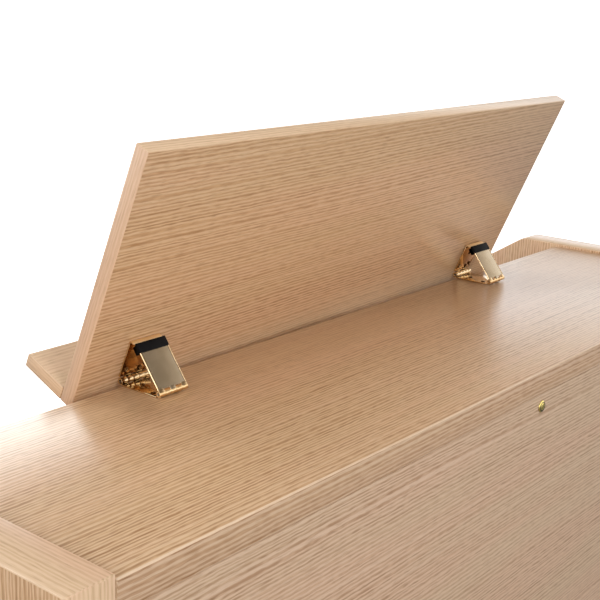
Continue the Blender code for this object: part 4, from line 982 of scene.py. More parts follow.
@dataclass
class Hinge:
    """A folding music desk hinge: base leaf, desk leaf with its lip, stay and rubber cap."""

    end: str
    x: float
    width: float = 0.042
    leaf: float = 0.0018
    gap: float = 0.0003
    pivot: Pair = (at(0.316), 1.0050)
    foot: Pair = (at(0.256), 1.0048)
    pivot_radius: float = 0.0040
    foot_radius: float = 0.0034
    lean: float = DESK_LEAN
    board_face: float = -0.0050
    stay_face: float = -0.0032
    stay_angle: float = radians(127.6)
    stay_length: float = 0.0570
    lip_height: float = 0.0540
    lip_reach: float = 0.0020
    lip_radius: float = 0.0026
    plate_round: float = 0.00035
    knuckle_count: int = 5
    knuckle_round: float = 0.00018
    roll_steps: int = 22
    tongue_length: float = 0.0080
    tongue_inset: float = 0.0012
    rim_inset: float = 0.0006
    rim_radius: float = 0.0005
    # Inset and half width of the dark strips on the stay, which are painted shade lines
    line_inset: float = 0.0015
    line_half: float = 0.00035
    cap_length: float = 0.0100
    cap_wall: float = 0.0007
    screw_seed: int = 23

    def __post_init__(self) -> None:
        """Set the leaves' two ends and the names' first word."""
        self.left, self.right = self.x - self.width / 2, self.x + self.width / 2
        self.name = self.end + "_hinge_"

    def knuckles(self, form: Form, lead: Sequence[Pair], centre: Pair, radius: float, turn: Pair,
                 indices: Iterable[int]) -> None:
        """Rolled knuckles: a strip that leads from the leaf and rolls round an axis.

        Args:
            form: Form that grows.
            lead: First points of the strip's middle line.
            centre: Axis that it rolls round.
            radius: Outer radius of the roll.
            turn: Angles where the roll starts and ends.
            indices: Knuckles that the leaf has, counted from the bass end.
        """
        outline = strip([*lead, *arc(centre, radius - self.leaf / 2, *turn, self.roll_steps)], self.leaf)
        pitch, form.slot = self.width / self.knuckle_count, 1
        for index in indices:
            low = self.left + index * pitch
            form.extruded(outline, Axis.X, low + self.gap / 2, low + pitch - self.gap / 2, self.knuckle_round)

    def plate(self, low: Triple, high: Triple, face: Axis) -> Form:
        """A leaf's plate, its faces in the first material slot and its edges in the second.

        Args:
            low: Lowest corner.
            high: Highest corner.
            face: Axis that the plate's faces look along.

        Returns:
            A form with the plate.
        """
        form = Form()
        form.block(low, high, self.plate_round)
        form.bm.normal_update()
        for f in form.bm.faces:
            f.material_index = 0 if abs(f.normal[face.value]) > SQUARE_ON else 1
        return form

    def finish_barrel(self, form: Form, centre: Pair, material: int) -> None:
        """Give the rolled barrel at the stay's foot its own material.

        Args:
            form: Form whose faces are marked.
            centre: Y and Z of the barrel's axis.
            material: Material slot.
        """
        for face in form.bm.faces:
            middle = face.calc_center_median()
            if hypot(middle.y - centre[0], middle.z - centre[1]) < self.foot_radius + 0.0001:
                face.material_index = material

    def base_leaf(self) -> None:
        """Leaf on the top panel, with three knuckles at the pivot and two at the stay's foot."""
        low = TOP_Z + self.gap
        middle = low + self.leaf / 2
        front = self.pivot[0] + self.pivot_radius + self.gap
        rear = self.foot[0] - self.foot_radius - self.gap
        form = self.plate((self.left, front, low), (self.right, rear, low + self.leaf), Axis.Z)
        self.knuckles(form, [(front + 0.0012, middle), (front - 0.0008, middle + 0.0001)],
                      self.pivot, self.pivot_radius, (-62.0, -385.0), (0, 2, 4))
        self.knuckles(form, [(rear - 0.0012, middle), (rear + 0.0006, middle + 0.0001)],
                      self.foot, self.foot_radius, (-112.0, 205.0), (1, 3))
        self.finish_barrel(form, self.foot, 2)
        piece = form.piece(self.name + "base_leaf.brass", BRASS, BRASS, BRASS_ROLLED)
        deliver(piece, "console", "brass", self.name + "base_leaf")

    def desk_leaf(self) -> None:
        """Leaf on the desk board, with two knuckles and the lip that curls over the stay's cap."""
        inner = self.board_face + self.gap
        middle = inner + self.leaf / 2
        bend = self.lip_height - self.gap - self.lip_radius
        radius = self.lip_radius - self.leaf / 2
        form = self.plate((self.left, inner, self.pivot_radius + self.gap),
                          (self.right, inner + self.leaf, bend), Axis.Y)
        path = [(middle, bend - 0.0006), *arc((middle + radius, bend), radius, 180.0, 90.0, 8),
                (self.lip_reach - 0.0006, bend + radius), (self.lip_reach - 0.0001, bend + radius - 0.0003)]
        form.slot = 2
        form.extruded(strip(path, self.leaf), Axis.X, self.left, self.right, 0.0003)
        self.knuckles(form, [(middle, 0.0056), (middle + 0.0002, 0.0036)],
                      (0.0, 0.0), self.pivot_radius, (158.0, 470.0), (1, 3))
        form.move(hung(self.pivot, -self.lean))
        # The plate's faces take the darker brass: a painted dim reflection
        piece = form.piece(self.name + "desk_leaf.brass", BRASS_PAINTED_DIM, BRASS, BRASS_SATIN)
        deliver(piece, "music_desk", "brass", self.name + "desk_leaf")

    def stay(self) -> None:
        """Stay plate with rounded long edges, a narrower tongue inside the cap and a rolled foot."""
        outer, start, shoulder = self.stay_face, self.foot_radius + self.gap, self.stay_length - self.tongue_length
        middle = outer + self.leaf / 2
        form = Form()
        for inset, low, high in ((0.0, start, shoulder), (self.tongue_inset, shoulder - 0.001, self.stay_length)):
            outline = rounded(self.left + inset, self.right - inset, outer, outer + self.leaf, 0.0007, 4)
            form.extruded(outline, Axis.Y, low, high)
        for x in (self.left + self.rim_inset, self.right - self.rim_inset):
            rim = arc((x, outer + 0.0002), self.rim_radius, 0.0, 324.0, 9)
            form.extruded(rim, Axis.Y, start + 0.0004, shoulder)
        self.knuckles(form, [(start + 0.0012, middle), (start - 0.0016, middle - 0.0001)],
                      (0.0, 0.0), self.foot_radius, (-78.0, -395.0), (0, 2, 4))
        bmesh.ops.recalc_face_normals(form.bm, faces=form.bm.faces[:])
        for face in form.bm.faces:
            flat = face.normal.z < -0.96 and abs(face.calc_center_median().x - self.x) < 0.3 * self.width
            face.material_index = 0 if flat else 1
        self.finish_barrel(form, (0.0, 0.0), 3)
        # Dark strips just inside the long edges: painted shade lines, with no groove under them
        form.slot = 2
        for x in (self.left + self.line_inset, self.right - self.line_inset):
            form.block((x - self.line_half, start + 0.0004, outer - 0.00006),
                       (x + self.line_half, shoulder, outer + 0.0004))
        form.move(hung(self.foot, self.stay_angle))
        piece = form.piece(self.name + "stay.brass", BRASS_PLATE, BRASS, BRASS_PAINTED_SHADE, BRASS_ROLLED)
        deliver(piece, self.end + "_stay", "brass", self.name + "stay")

    def cap(self) -> None:
        """Rubber cap that sleeves the stay's free end; its outer wall rises past the lip."""
        outer, inner, tip = self.stay_face, self.stay_face + self.leaf, self.stay_length + self.gap
        end = self.stay_length + 0.0015
        start, low, high = end - self.cap_length, outer - 0.0010, inner + 0.0054
        profile = [(start, low), (end + 0.0008, low), (end + 0.0016, low + 0.0007), (end + 0.0016, outer + 0.0010),
                   (end, outer + 0.0022), (end, high - 0.0005), (end - 0.0005, high), (start, high),
                   (start, inner + self.gap), (tip, inner + self.gap), (tip, outer - self.gap),
                   (start, outer - self.gap)]
        left, right, wall = self.left - self.gap, self.right + self.gap, self.cap_wall
        form = Form()
        form.extruded(profile, Axis.X, left, right, 0.00025)
        form.extruded(profile[:8], Axis.X, left, left + wall, 0.00020)
        form.extruded(profile[:8], Axis.X, right - wall, right, 0.00020)
        form.move(hung(self.foot, self.stay_angle))
        piece = form.piece(self.name + "stay_cap.rubber", RUBBER)
        deliver(piece, self.end + "_stay", "rubber", self.name + "stay_cap")

    def screw(self) -> Object:
        """Dome screw head with a cross recess, standing on Z.

        Returns:
            The screw head.
        """
        head, cross = Form(), Form()
        head.turned([(0.0, 0.0), (0.0030, 0.0), (0.0031, 0.0004), (0.0027, 0.0010), (0.0018, 0.0014), (0.0, 0.0016)],
                    20, Matrix.Identity(4))
        for x, y in ((0.0019, 0.0003), (0.0003, 0.0019)):
            cross.block((-x, -y, 0.0008), (x, y, 0.0030))
        made = head.piece("hinge_screw_item", BRASS)
        carve(made, cross.piece("cross_tool"), own=True)
        return made

    def screws(self) -> None:
        """Screws of the base leaf and of the desk leaf."""
        on_base = [(self.x + dx, self.pivot[0] + dy, TOP_Z + self.gap + self.leaf)
                   for dx, dy in ((0.005, 0.0184), (-0.0155, 0.0470), (0.0155, 0.0470))]
        on_desk = [(self.x + dx, -up, self.board_face + self.gap + self.leaf)
                   for dx, up in ((-0.0150, 0.0135), (0.0150, 0.0135), (-0.0070, 0.0100), (0.0, 0.0360))]
        for kind, places, turn, body in (("base", on_base, Matrix.Identity(4), "console"),
                                         ("desk", on_desk, hung(self.pivot, -self.lean) @ TO_REAR, "music_desk")):
            made = SCATTER.spread(self.screw(), places, self.name + kind + "_screws", BRASS, self.screw_seed, pi)
            # Faces that don't look straight up, the dome's rim and the recess walls, take painted shade: a shadow
            # round the head
            made.data.materials.append(BRASS_PAINTED_SHADE.material())
            for face in made.data.polygons:
                face.material_index = 1 if face.normal.z < SQUARE_ON else 0
            made.data.transform(turn)
            deliver(made, body, "brass")

    def build(self) -> None:
        """Make the whole hinge."""
        for make in (self.base_leaf, self.desk_leaf, self.stay, self.cap, self.screws):
            make()


@dataclass
class Manual:
    """One keyboard: separate naturals, and sharps that a tree places."""

    prefix: str
    key_front: float
    key_top: float
    pitch: float = 0.0235
    gap: float = 0.0010
    head: float = 0.050
    length: float = 0.215
    tail: float = 0.011
    thickness: float = 0.018
    sharp_width: float = 0.0105
    sharp_rise: float = 0.012
    sharp_slope: float = 0.0075
    sharp_taper: float = 0.84
    octaves: int = 5
    seed: int = 3
    nudges: tuple[tuple[int, float], ...] = ((1, -0.0032), (2, 0.0032), (4, -0.0040), (5, 0.0), (6, 0.0040))

    def natural(self, form: Form, first: float, index: int, count: int) -> None:
        """One natural with its head and its tail between the sharps.

        Args:
            form: Form that grows.
            first: X of the octave's left edge.
            index: Natural's number in the octave.
            count: Naturals in the octave.
        """
        sharps = {i: first + i * self.pitch + nudge for i, nudge in self.nudges}
        left = first + index * self.pitch + self.gap / 2
        right = left + self.pitch - self.gap
        slot = self.sharp_width / 2 + self.gap
        tail_left = sharps[index] + slot if index in sharps else left
        tail_right = sharps[index + 1] - slot if index + 1 in sharps and index + 1 < count else right
        front, heel, rear = [at(self.key_front - depth) for depth in (0.0, self.head, self.length)]
        outline = dict.fromkeys([(left, front), (right, front), (right, heel), (tail_right, heel),
                                 (tail_right, rear), (tail_left, rear), (tail_left, heel), (left, heel)])
        form.extruded(list(outline), Axis.Z, self.key_top - self.thickness, self.key_top, 0.0008)

    def sharp(self) -> Object:
        """One sharp about its front's middle: sloping front, narrower top, rounded edges.

        Returns:
            The sharp.
        """
        half, long = self.sharp_width / 2, self.length - self.head - self.gap - self.tail
        form = Form()
        form.block((-half, 0.0, self.gap - self.thickness), (half, long, self.sharp_rise))
        for vert in form.bm.verts:
            if vert.co.z > 0.0:
                vert.co.x *= self.sharp_taper
                if vert.co.y < 0.01:
                    vert.co.y += self.sharp_slope
        form.bevel([e for e in form.bm.edges if max(v.co.z for v in e.verts) > 0.0], 0.0011, 3)
        return form.piece("sharp_item", EBONY, limit=60.0)

    def build(self) -> None:
        """Make each octave's naturals and sharps."""
        start = -(self.octaves * 7 + 1) * self.pitch / 2
        for octave in range(self.octaves):
            first = start + octave * 7 * self.pitch
            count = 8 if octave == self.octaves - 1 else 7
            body = f"{self.prefix}_octave_{octave + 1}"
            node = f"{self.prefix}_keys_octave_{octave + 1}"
            form = Form()
            for index in range(count):
                self.natural(form, first, index, count)
            deliver(form.piece(node + ".naturals", IVORY, flat_area=1e-4), body, "ivory", node)
            y = at(self.key_front - self.head - self.gap)
            places = [(first + i * self.pitch + nudge, y, self.key_top) for i, nudge in self.nudges]
            deliver(SCATTER.spread(self.sharp(), places, node + ".sharps", EBONY, self.seed), body, "ebony")


@dataclass
class StopTabs:
    """A group of rocking stop tabs on its bar behind the stop rail."""

    name: str
    body: str
    count: int
    centre: float
    pitch: float = 0.020
    width: float = 0.015
    length: float = 0.028
    thickness: float = 0.004
    stand: float = 0.009
    behind: float = 0.0163
    slope: float = radians(45.0)
    rail_foot: Pair = (at(0.3615), 0.9215)
    rail_rise: float = 0.0485
    corner: float = 0.002
    curl: float = 0.0006
    bar_radius: float = 0.004

    def build(self) -> None:
        """Make the group in its own frame, Y up the slope and Z outward, and set it in place."""
        along = self.rail_rise / sin(self.slope) / 2
        place = hung(self.rail_foot, self.slope) @ Matrix.Translation((0.0, along, -self.behind))
        half, reach, face = self.width / 2, self.length / 2, self.behind + self.stand
        back = face - self.thickness
        form = Form()
        form.extruded(rounded(-half, half, -reach, reach, self.corner, 4), Axis.Z, back, face - self.curl, 0.0006)
        for vert in form.bm.verts:
            if vert.co.z > face - self.thickness / 2:
                vert.co.z += self.curl * (vert.co.y / reach) ** 2
        form.block((-half + 0.001, -0.003, 0.0), (half - 0.001, 0.003, back + 0.0005), 0.0004, 1)
        made = ROW.line(form.piece("tab_item", IVORY, flat_area=1e-4), self.name + ".tabs", IVORY, self.count,
                        self.pitch, self.centre)
        made.data.transform(place)
        deliver(made, self.body, "ivory", self.name)
        ends, r = (self.count - 1) / 2 * self.pitch + half + 0.006, self.bar_radius
        form = Form()
        form.turned([(0.0, 0.0), (r - 0.0004, 0.0), (r, 0.0004), (r, 2 * ends - 0.0004), (r - 0.0004, 2 * ends),
                     (0.0, 2 * ends)], 16, place @ Matrix.Translation((self.centre - ends, 0.0, 0.0)) @ TO_TREBLE)
        deliver(form.piece(self.name + ".bar", BLACK), self.body, "black_plastic")


@dataclass
class Pistons:
    """A row of thumb pistons on the bar behind a slip."""

    name: str
    body: str
    front: float
    slip: float = 0.0083
    bar: float = 0.005
    count: int = 8
    pitch: float = 0.050
    radius: float = 0.005
    proud: float = 0.004

    def build(self) -> None:
        """Make the row at the height of its node."""
        low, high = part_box(self.name)
        height, r, p = (low.z + high.z) / 2, self.radius, self.proud
        back = -(self.slip + self.bar / 2)
        form = Form()
        form.turned([(0.0, back), (r, back), (r, p - 0.0016), (r - 0.0003, p - 0.0007), (r - 0.0012, p - 0.0001),
                     (r - 0.0018, p - 0.0003), (r * 0.4, p - 0.0005), (0.0, p - 0.0006)], 24, TO_FRONT)
        made = ROW.line(form.piece("piston_item", IVORY), self.name + ".heads", IVORY, self.count, self.pitch,
                        0.0, at(self.front), height)
        deliver(made, self.body, "ivory", self.name)
        y, reach, half = at(self.front - self.slip), (self.count - 1) / 2 * self.pitch + r, self.bar / 2
        form = Form()
        form.block((-reach, y, height - half), (reach, y + self.bar, height + half), 0.0004, 1)
        deliver(form.piece(self.name + ".bar", BLACK), self.body, "black_plastic")


@dataclass
class Controls:
    """The volume knob on the bass jamb and the power button on the treble jamb."""

    side: float = 0.591
    depth: float = 0.560
    level: float = 0.844
    knob_radius: float = 0.011
    knob_height: float = 0.014
    flute_count: int = 24
    flute_depth: float = 0.035
    button_radius: float = 0.008

    def knob(self) -> None:
        """Fluted knob with a pointer line."""
        x, y, z = -self.side, at(self.depth), self.level
        r, h = self.knob_radius, self.knob_height
        place = Matrix.Translation((x, y, z))

        def flutes(angle: float, height: float) -> float:
            """Flutes on the knob's side, none on its rim."""
            depth = self.flute_depth if 0.001 < height < h - 0.0012 else 0.0
            return 1.0 - depth * (0.5 + 0.5 * cos(self.flute_count * angle))

        form = Form()
        form.turned([(0.0, 0.0003), (r - 0.0006, 0.0003), (r - 0.0002, 0.0011), (r - 0.0002, h - 0.0022),
                     (r - 0.0006, h - 0.0008), (r - 0.0016, h), (r - 0.0030, h - 0.0004), (0.0, h - 0.0006)],
                    96, place, ripple=flutes)
        form.turned([(0.0, -0.0095), (0.0028, -0.0095), (0.0028, 0.0006), (0.0, 0.0006)], 16, place)
        form.slot = 1
        form.block((x - 0.0005, y + 0.0020, z + h - 0.0006), (x + 0.0005, y + r - 0.0018, z + h - 0.0001))
        deliver(form.piece("volume_knob.plastic", BLACK, IVORY), "knob", "black_plastic", "volume_knob")

    def button(self) -> None:
        """Push button with a dished top, in a bright collar."""
        r = self.button_radius
        place = Matrix.Translation((self.side, at(self.depth), self.level))
        form, collar = Form(), Form()
        form.turned([(0.0, -0.007), (r - 0.0002, -0.007), (r - 0.0002, 0.0018), (r - 0.0008, 0.0028),
                     (r - 0.0016, 0.0030), (r - 0.0030, 0.0026), (0.0, 0.0022)], 40, place)
        deliver(form.piece("power_button.plastic", BLACK), "button", "black_plastic", "power_button")
        collar.turned([(r + 0.0004, 0.0001), (r + 0.0026, 0.0001), (r + 0.0024, 0.0008), (r + 0.0010, 0.0011),
                       (r + 0.0004, 0.0008)], 40, place, closed=True)
        deliver(collar.piece("power_button_collar", SILVER), "console", "steel")

    def build(self) -> None:
        """Make both controls."""
        self.knob()
        self.button()


@dataclass
class SwellShoe:
    """The tilting swell shoe: a metal tray with a ribbed rubber tread."""

    length: float = 0.240
    width: float = 0.095
    corner: float = 0.010
    over_axle: float = 0.026
    thickness: float = 0.014
    plate: float = 0.0095
    mat: Pair = (0.955, 0.985)
    angle: float = radians(30.0)
    axle: Pair = (at(0.480), 0.240)
    bore: float = 0.0055
    lug_radius: float = 0.0125
    lug_width: float = 0.010
    lugs: Pair = (0.021, -0.031)
    rib: float = 0.0030
    rib_count: int = 15

    def tray(self, outline: Sequence[Pair], place: Matrix) -> None:
        """The tray and its lugs, bored for the axle.

        Args:
            outline: Tray's outline.
            place: Where the shoe goes.
        """
        low, r = self.over_axle, self.lug_radius
        form, bore = Form(), Form()
        form.extruded(outline, Axis.Z, low, low + self.plate, 0.0012)
        for x in self.lugs:
            side = [*arc((0.0, 0.0), r, 180.0, 360.0, 12), (r, low + 0.001), (-r, low + 0.001)]
            form.extruded(side, Axis.X, x, x + self.lug_width, 0.0006)
        form.move(place)
        tray = form.piece("swell_shoe.tray", STEEL)
        bore.turned([(0.0, -0.06), (self.bore, -0.06), (self.bore, 0.06), (0.0, 0.06)], 24,
                    hung(self.axle, 0.0) @ TO_TREBLE)
        carve(tray, bore.piece("bore_tool"))
        deliver(tray, "shoe", "steel", "swell_shoe")

    def build(self) -> None:
        """Make the tray, the mat and its ribs."""
        place = hung(self.axle, self.angle)
        low, half, reach = self.over_axle, self.width / 2, self.length / 2
        outline = rounded(-half, half, -reach, reach, self.corner, 6)
        self.tray(outline, place)
        mat, item = Form(), Form()
        inner = [(x * self.mat[0], y * self.mat[1]) for x, y in outline]
        mat.extruded(inner, Axis.Z, low + 0.0092, low + 0.0118, 0.0006)
        mat.move(place)
        deliver(mat.piece("swell_shoe.mat", RUBBER), "shoe", "rubber")
        item.block((-self.rib / 2, -reach + 0.008, low + 0.0112), (self.rib / 2, reach - 0.008, low + self.thickness),
                   0.0008)
        pitch = (self.width - 0.012) / self.rib_count
        ribs = ROW.line(item.piece("rib_item", RUBBER), "swell_shoe.ribs", RUBBER, self.rib_count, pitch)
        ribs.data.transform(place)
        deliver(ribs, "shoe", "rubber")


@dataclass
class Grille:
    """The speaker grille: a mitred frame, upright slats and cloth behind them."""

    width: float = 1.080
    height: float = 0.210
    thickness: float = 0.010
    depth: float = 0.3303
    level: float = 0.585
    rim: float = 0.014
    cloth: Pair = (0.0022, 0.0006)
    slat: float = 0.009
    slat_pitch: float = 0.0234

    def build(self) -> None:
        """Make the frame, the cloth and the slats."""
        rear, half = at(self.depth), self.width / 2
        front, low, high = rear - self.thickness, self.level - self.height / 2, self.level + self.height / 2
        side, floor, roof = half - self.rim, low + self.rim, high - self.rim
        wood, weave, item = Form(), Form(), Form()
        for x, z, right, top in ((-half, low, half, floor), (-half, roof, half, high), (-half, floor, -side, roof),
                                 (side, floor, half, roof)):
            wood.block((x, front, z), (right, rear, top), 0.0010)
        wood.lay_grain(Axis.Y, Axis.X, Matrix.Identity(4), Edges.VENEERED, (2.2, 10.1))
        deliver(wood.piece("speaker_grille.frame", OAK, OAK_EDGE_BAND_AND_HIGHLIGHT), "console", "light_oak")
        weave.block((-side, rear - self.cloth[0], floor), (side, rear - self.cloth[1], roof))
        cloth = weave.piece("speaker_grille.cloth", CLOTH)
        deliver(cloth, "console", "grille_cloth", "speaker_grille")
        item.block((-self.slat / 2, front + 0.0015, floor - 0.001),
                   (self.slat / 2, rear - 0.0024, roof + 0.001), 0.0012)
        count = int((self.width - 2 * self.rim) / self.slat_pitch)
        slats = ROW.line(item.piece("slat_item", OAK), "speaker_grille.slats", OAK_SLATS, count, self.slat_pitch)
        deliver(slats, "console", "light_oak")


@dataclass
class ConnectorPanel:
    """The connector block in the back panel: mains inlet with its blades and two round sockets."""

    x: float = 0.420
    z: float = 0.260
    recess: float = 0.002
    socket_depth: float = 0.016
    inlet: float = 0.050
    blades: tuple[Pair, ...] = ((-0.007, -0.002), (0.0, 0.003), (0.007, -0.002))
    blade_length: float = 0.011
    sockets: Pair = (-0.060, -0.020)
    socket_radius: float = 0.0075
    pin_circle: float = 0.0042
    pins: tuple[float, ...] = (180.0, 210.0, 240.0, 270.0, 300.0)

    def build(self) -> None:
        """Make the block, the blades and the socket collars."""
        plate = Board("connector_plate", Axis.Y, Axis.X, arris=0.0005).form()
        made = plate.piece("connector_plate.plastic", BLACK, recalc=False)
        deliver(made, "console", "black_plastic", "connector_plate")
        form, floor, r = Form(), at(self.recess + self.socket_depth), self.socket_radius
        for dx, dz in self.blades:
            x, z = self.x + self.inlet + dx, self.z + dz
            form.block((x - 0.001, floor, z - 0.002), (x + 0.001, floor + self.blade_length, z + 0.002), 0.0003, 1)
        for dx in self.sockets:
            place = Matrix.Translation((self.x + dx, at(self.recess), self.z)) @ TO_REAR
            form.turned([(r + 0.0002, 0.0001), (r + 0.0022, 0.0001), (r + 0.0020, 0.0009), (r + 0.0006, 0.0012),
                         (r + 0.0002, 0.0008)], 28, place, closed=True)
            for angle in map(radians, self.pins):
                x, y = self.pin_circle * cos(angle), self.pin_circle * sin(angle)
                form.turned([(0.0, 0.0), (0.0006, 0.0), (0.0006, 0.010), (0.0, 0.0104)], 8,
                            place @ Matrix.Translation((x, y, -self.socket_depth)))
        deliver(form.piece("connector_plate.metal", SILVER), "console", "steel")


@dataclass(frozen=True)
class Rank:
    """Sizes that one rank of pedals has for itself."""

    width: float
    level: float
    pivot: float


@dataclass
class Pedalboard:
    """The flat pedalboard: frame, beech naturals and dark sharps with raised caps."""

    rear: float = 0.120
    depth: float = 0.900
    toe: float = 0.165
    pitch: float = 0.064
    count: int = 18
    thickness: float = 0.024
    ease: float = 0.0003
    bar_half: float = 0.013
    naturals: Rank = Rank(0.024, 0.090, 0.040)
    sharps: Rank = Rank(0.022, 0.063, 0.085)
    cap_top: float = 0.124
    cap_length: float = 0.300
    cap_nose: float = 0.060
    nose_back: float = 0.045
    nose_rise: float = 0.028
    inner: float = 0.6107
    seed: int = 5
    sharps_at: tuple[int, ...] = (1, 2, 4, 5, 6)

    def frame_wood(self) -> None:
        """The frame's members, each with its own grain."""
        form = Board("pedalboard_frame", Axis.Z, Axis.X, arris=0.0015).form()
        form.bm.normal_update()
        layer = form.bm.loops.layers.uv.new(GRAIN_MAP)
        for face in form.bm.faces:
            cheek = abs(face.calc_center_median().x) > self.inner
            for loop in face.loops:
                x, y, z = loop.vert.co
                along, across = (y, z + x * 0.7) if cheek else (x, z + y * 0.9)
                loop[layer].uv = (along + 6.0, across + 11.0)
        piece = form.piece("pedalboard_frame.wood", OAK, recalc=False)
        deliver(piece, "console", "light_oak", "pedalboard_frame")

    def stick(self, rank: Rank) -> Object:
        """One stick about its middle, from its pivot to its rounded nose.

        Args:
            rank: Sizes of its rank.

        Returns:
            The stick.
        """
        half, heel = rank.width / 2 - self.ease, at(self.rear + self.depth - rank.pivot)
        form = Form()
        form.block((-half, heel, rank.level - self.thickness + self.ease), (half, at(self.toe), rank.level), 0.0025, 3)
        return form.piece("stick_item", BEECH, flat_area=1e-3)

    def cap(self) -> Object:
        """One sharp's raised cap about its middle.

        Returns:
            The cap.
        """
        nose, low, half = at(self.toe + self.cap_length), self.sharps.level - 0.001, self.sharps.width / 2
        centre = (nose + self.nose_back, self.cap_top - self.cap_nose)
        side = [(nose, low), (at(self.toe), low), (at(self.toe), self.cap_top),
                *arc(centre, self.cap_nose, 90.0, 132.0, 8)[:-1], (nose, self.sharps.level + self.nose_rise)]
        form = Form()
        form.extruded(side, Axis.X, -half, half, 0.0022)
        return form.piece("cap_item", EBONY, flat_area=1e-3)

    def bar(self, rank: Rank, name: str, body: str, places: Sequence[float]) -> None:
        """The bar that joins a group at its pivot.

        Args:
            rank: Sizes of the group's rank.
            name: Group's node.
            body: Body that it moves with.
            places: X of each pedal.
        """
        y, half = at(self.rear + self.depth - rank.pivot), rank.width / 2
        form = Form()
        form.block((places[0] - half, y - self.bar_half, rank.level - self.thickness),
                   (places[-1] + half, y + self.bar_half, rank.level), 0.0008, 1)
        deliver(form.piece(name + ".bar", BEECH, flat_area=1e-3), body, "pedal_beech")

    def build(self) -> None:
        """Make the frame, the naturals and the sharps."""
        self.frame_wood()
        naturals = [(i - (self.count - 1) / 2) * self.pitch for i in range(self.count)]
        sharps = [naturals[i] - self.pitch / 2 for i in range(1, self.count) if i % 7 in self.sharps_at]
        half, middle = self.count // 2, len(sharps) // 2
        for end, places in (("bass", naturals[:half]), ("treble", naturals[half:])):
            name, body = "pedal_naturals_" + end, "naturals_" + end
            made = ROW.line(self.stick(self.naturals), name + ".sticks", BEECH, len(places), self.pitch,
                            (places[0] + places[-1]) / 2)
            deliver(made, body, "pedal_beech", name)
            self.bar(self.naturals, name, body, places)
        for end, places in (("bass", sharps[:middle]), ("treble", sharps[middle:])):
            name, body = "pedal_sharps_" + end, "sharps_" + end
            points = [(x, 0.0, 0.0) for x in places]
            deliver(SCATTER.spread(self.cap(), points, name + ".caps", EBONY, self.seed), body, "ebony", name)
            sticks = SCATTER.spread(self.stick(self.sharps), points, name + ".sticks", BEECH, self.seed)
            deliver(sticks, body, "pedal_beech")
            self.bar(self.sharps, name, body, places)


@dataclass(frozen=True)
class Lamp:
    """A square soft lamp."""

    name: str
    place: Triple
    aim: Triple
    size: float
    watts: float

    def build(self) -> None:
        """Hang the lamp and turn it to its aim."""
        data = bpy.data.lights.new(self.name, "AREA")
        data.shape, data.size, data.energy = "SQUARE", self.size, self.watts
        turn = (Vector(self.aim) - Vector(self.place)).to_track_quat("-Z", "Y").to_matrix().to_4x4()
        linked(self.name, data).matrix_world = Matrix.Translation(self.place) @ turn


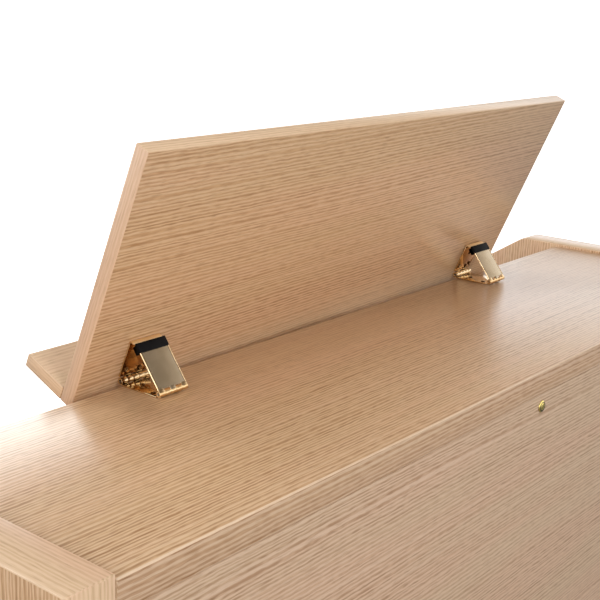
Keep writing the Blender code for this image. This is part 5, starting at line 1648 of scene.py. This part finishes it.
@dataclass
class Studio:
    """White floor and surroundings, soft lamps and the camera of the photograph."""

    eye: Triple = (1.1632, 1.0938, 1.4296)
    heading: float = radians(39.12)
    pitch: float = radians(15.33)
    roll: float = radians(1.64)
    lens: float = 68.815
    sensor: float = 36.0
    horizon: float = 1.50
    ceiling: float = 0.20
    glow: float = 0.2
    overhead: tuple[float, ...] = (1.0, 0.80, 0.62, 1.0)
    behind: Triple = (0.67, 0.56, 0.48)
    lamps: tuple[Lamp, ...] = (
        Lamp("rear", (0.6, 3.4, 3.6), (0.0, 0.3, 0.9), 2.6, 47.0),
        Lamp("low", (0.9, 3.6, 1.8), (0.0, 0.3, 1.1), 1.3, 31.0),
        Lamp("top", (-0.4, 0.2, 4.2), (0.0, 0.0, 0.8), 3.0, 13.0),
        Lamp("over", (0.6, -1.8, 3.6), (0.0, -0.1, 0.9), 1.6, 25.0),
        Lamp("right", (4.2, 0.6, 2.0), (0.0, 0.1, 0.9), 2.6, 66.0),
        Lamp("front", (-1.2, -4.2, 2.0), (0.0, -0.2, 0.7), 2.6, 45.0))

    def camera(self) -> None:
        """Camera at the photograph's view."""
        h, p, k = self.heading, self.pitch, self.roll
        ahead = Vector((-cos(h) * cos(p), -sin(h) * cos(p), -sin(p)))
        right = Vector((-sin(h), cos(h), 0.0))
        up = right.cross(ahead)
        turn = Matrix((right * cos(k) + up * sin(k), up * cos(k) - right * sin(k), -ahead)).transposed().to_4x4()
        data = bpy.data.cameras.new("photo_view")
        data.lens, data.sensor_width, data.clip_start, data.clip_end = self.lens, self.sensor, 0.01, 200.0
        made = linked("photo_view", data)
        made.matrix_world = Matrix.Translation(self.eye) @ turn
        bpy.context.scene.camera = made

    def floor(self) -> None:
        """Pale floor that reads white to the camera and still takes the shadow."""
        graph = ShaderGraph(bpy.data.materials.new("studio_floor"))
        path = graph.node("ShaderNodeLightPath", {})
        cloud = graph.span(graph.noise(graph.place(), 0.8, 2.0, 0.5), 0.3, 0.7)
        pale = graph.mix(cloud, tint((240, 240, 240)), tint((236, 236, 237)))
        graph.surface(Base_Color=graph.mix(path["Is Camera Ray"], tint((120, 120, 120)), pale), Roughness=0.9,
                      Specular_IOR_Level=0.0)
        far = graph.vector("LENGTH", graph.place())["Value"]
        direct = graph.times(path["Is Camera Ray"], graph.span(far, 0.95, 3.2))
        mirrored = graph.times(graph.math("MAXIMUM", path["Is Glossy Ray"], path["Is Transmission Ray"]),
                               graph.span(far, 1.4, 4.0, 0.0, self.glow))
        glow = graph.node("ShaderNodeEmission", {"Color": WHITE, "Strength": graph.plus(direct, mirrored)})
        both = graph.node("ShaderNodeAddShader", {0: graph.shader.outputs[0], 1: glow[0]})
        graph.feed(graph.tree.nodes["Material Output"].inputs["Surface"], both[0])
        bm, mesh = bmesh.new(), bpy.data.meshes.new("floor")
        bmesh.ops.create_grid(bm, x_segments=1, y_segments=1, size=60.0, matrix=Matrix.Translation((0, 0, -0.0005)))
        bm.to_mesh(mesh)
        bm.free()
        mesh.materials.append(graph.owner)
        linked("floor", mesh)

    def surroundings(self) -> None:
        """World that is white at the horizon and greyer overhead, as a studio is."""
        graph = ShaderGraph(bpy.data.worlds.new("studio"), "Background")
        bpy.context.scene.world = graph.owner
        path = graph.node("ShaderNodeLightPath", {})
        place = graph.node("ShaderNodeTexCoord", {})["Generated"]
        height = graph.split(place)[2]
        level = graph.span(height, 0.25, 0.65, self.horizon, self.ceiling)
        dim = graph.span(graph.vector("DOT_PRODUCT", place, self.behind)["Value"], 0.84, 0.95, 1.0, 0.30)
        warmth = graph.span(height, 0.25, 0.60, 0.0, path["Is Glossy Ray"], "LINEAR")
        graph.surface(Color=graph.mix(warmth, WHITE, self.overhead),
                      Strength=graph.math("MAXIMUM", path["Is Camera Ray"], graph.times(level, dim)))

    def build(self) -> None:
        """Set the whole studio."""
        self.camera()
        self.floor()
        self.surroundings()
        for lamp in self.lamps:
            lamp.build()
        bpy.context.scene.view_settings.view_transform = "Standard"


def main() -> None:
    """Build the console, its controls, the desk and the pedalboard, then the studio."""
    logging.basicConfig(level=logging.INFO, format="%(name)s: %(message)s")
    for part in (
            Cabinet(), BackScrews(), MusicDesk(), Hinge("treble", 0.343), Hinge("bass", -0.343),
            Manual("lower", 0.6125, 0.830), Manual("upper", 0.5075, 0.897),
            StopTabs("pedal_stop_tabs", "pedal_tabs", 8, -0.330), StopTabs("great_stop_tabs", "great_tabs", 10, 0.0),
            StopTabs("swell_stop_tabs", "swell_tabs", 10, 0.340), Pistons("lower_pistons", "lower_piston_row", 0.6362),
            Pistons("upper_pistons", "upper_piston_row", 0.5065), Controls(), SwellShoe(), Grille(), ConnectorPanel(),
            Pedalboard(), Studio()):
        part.build()


if __name__ == "__main__":
    main()
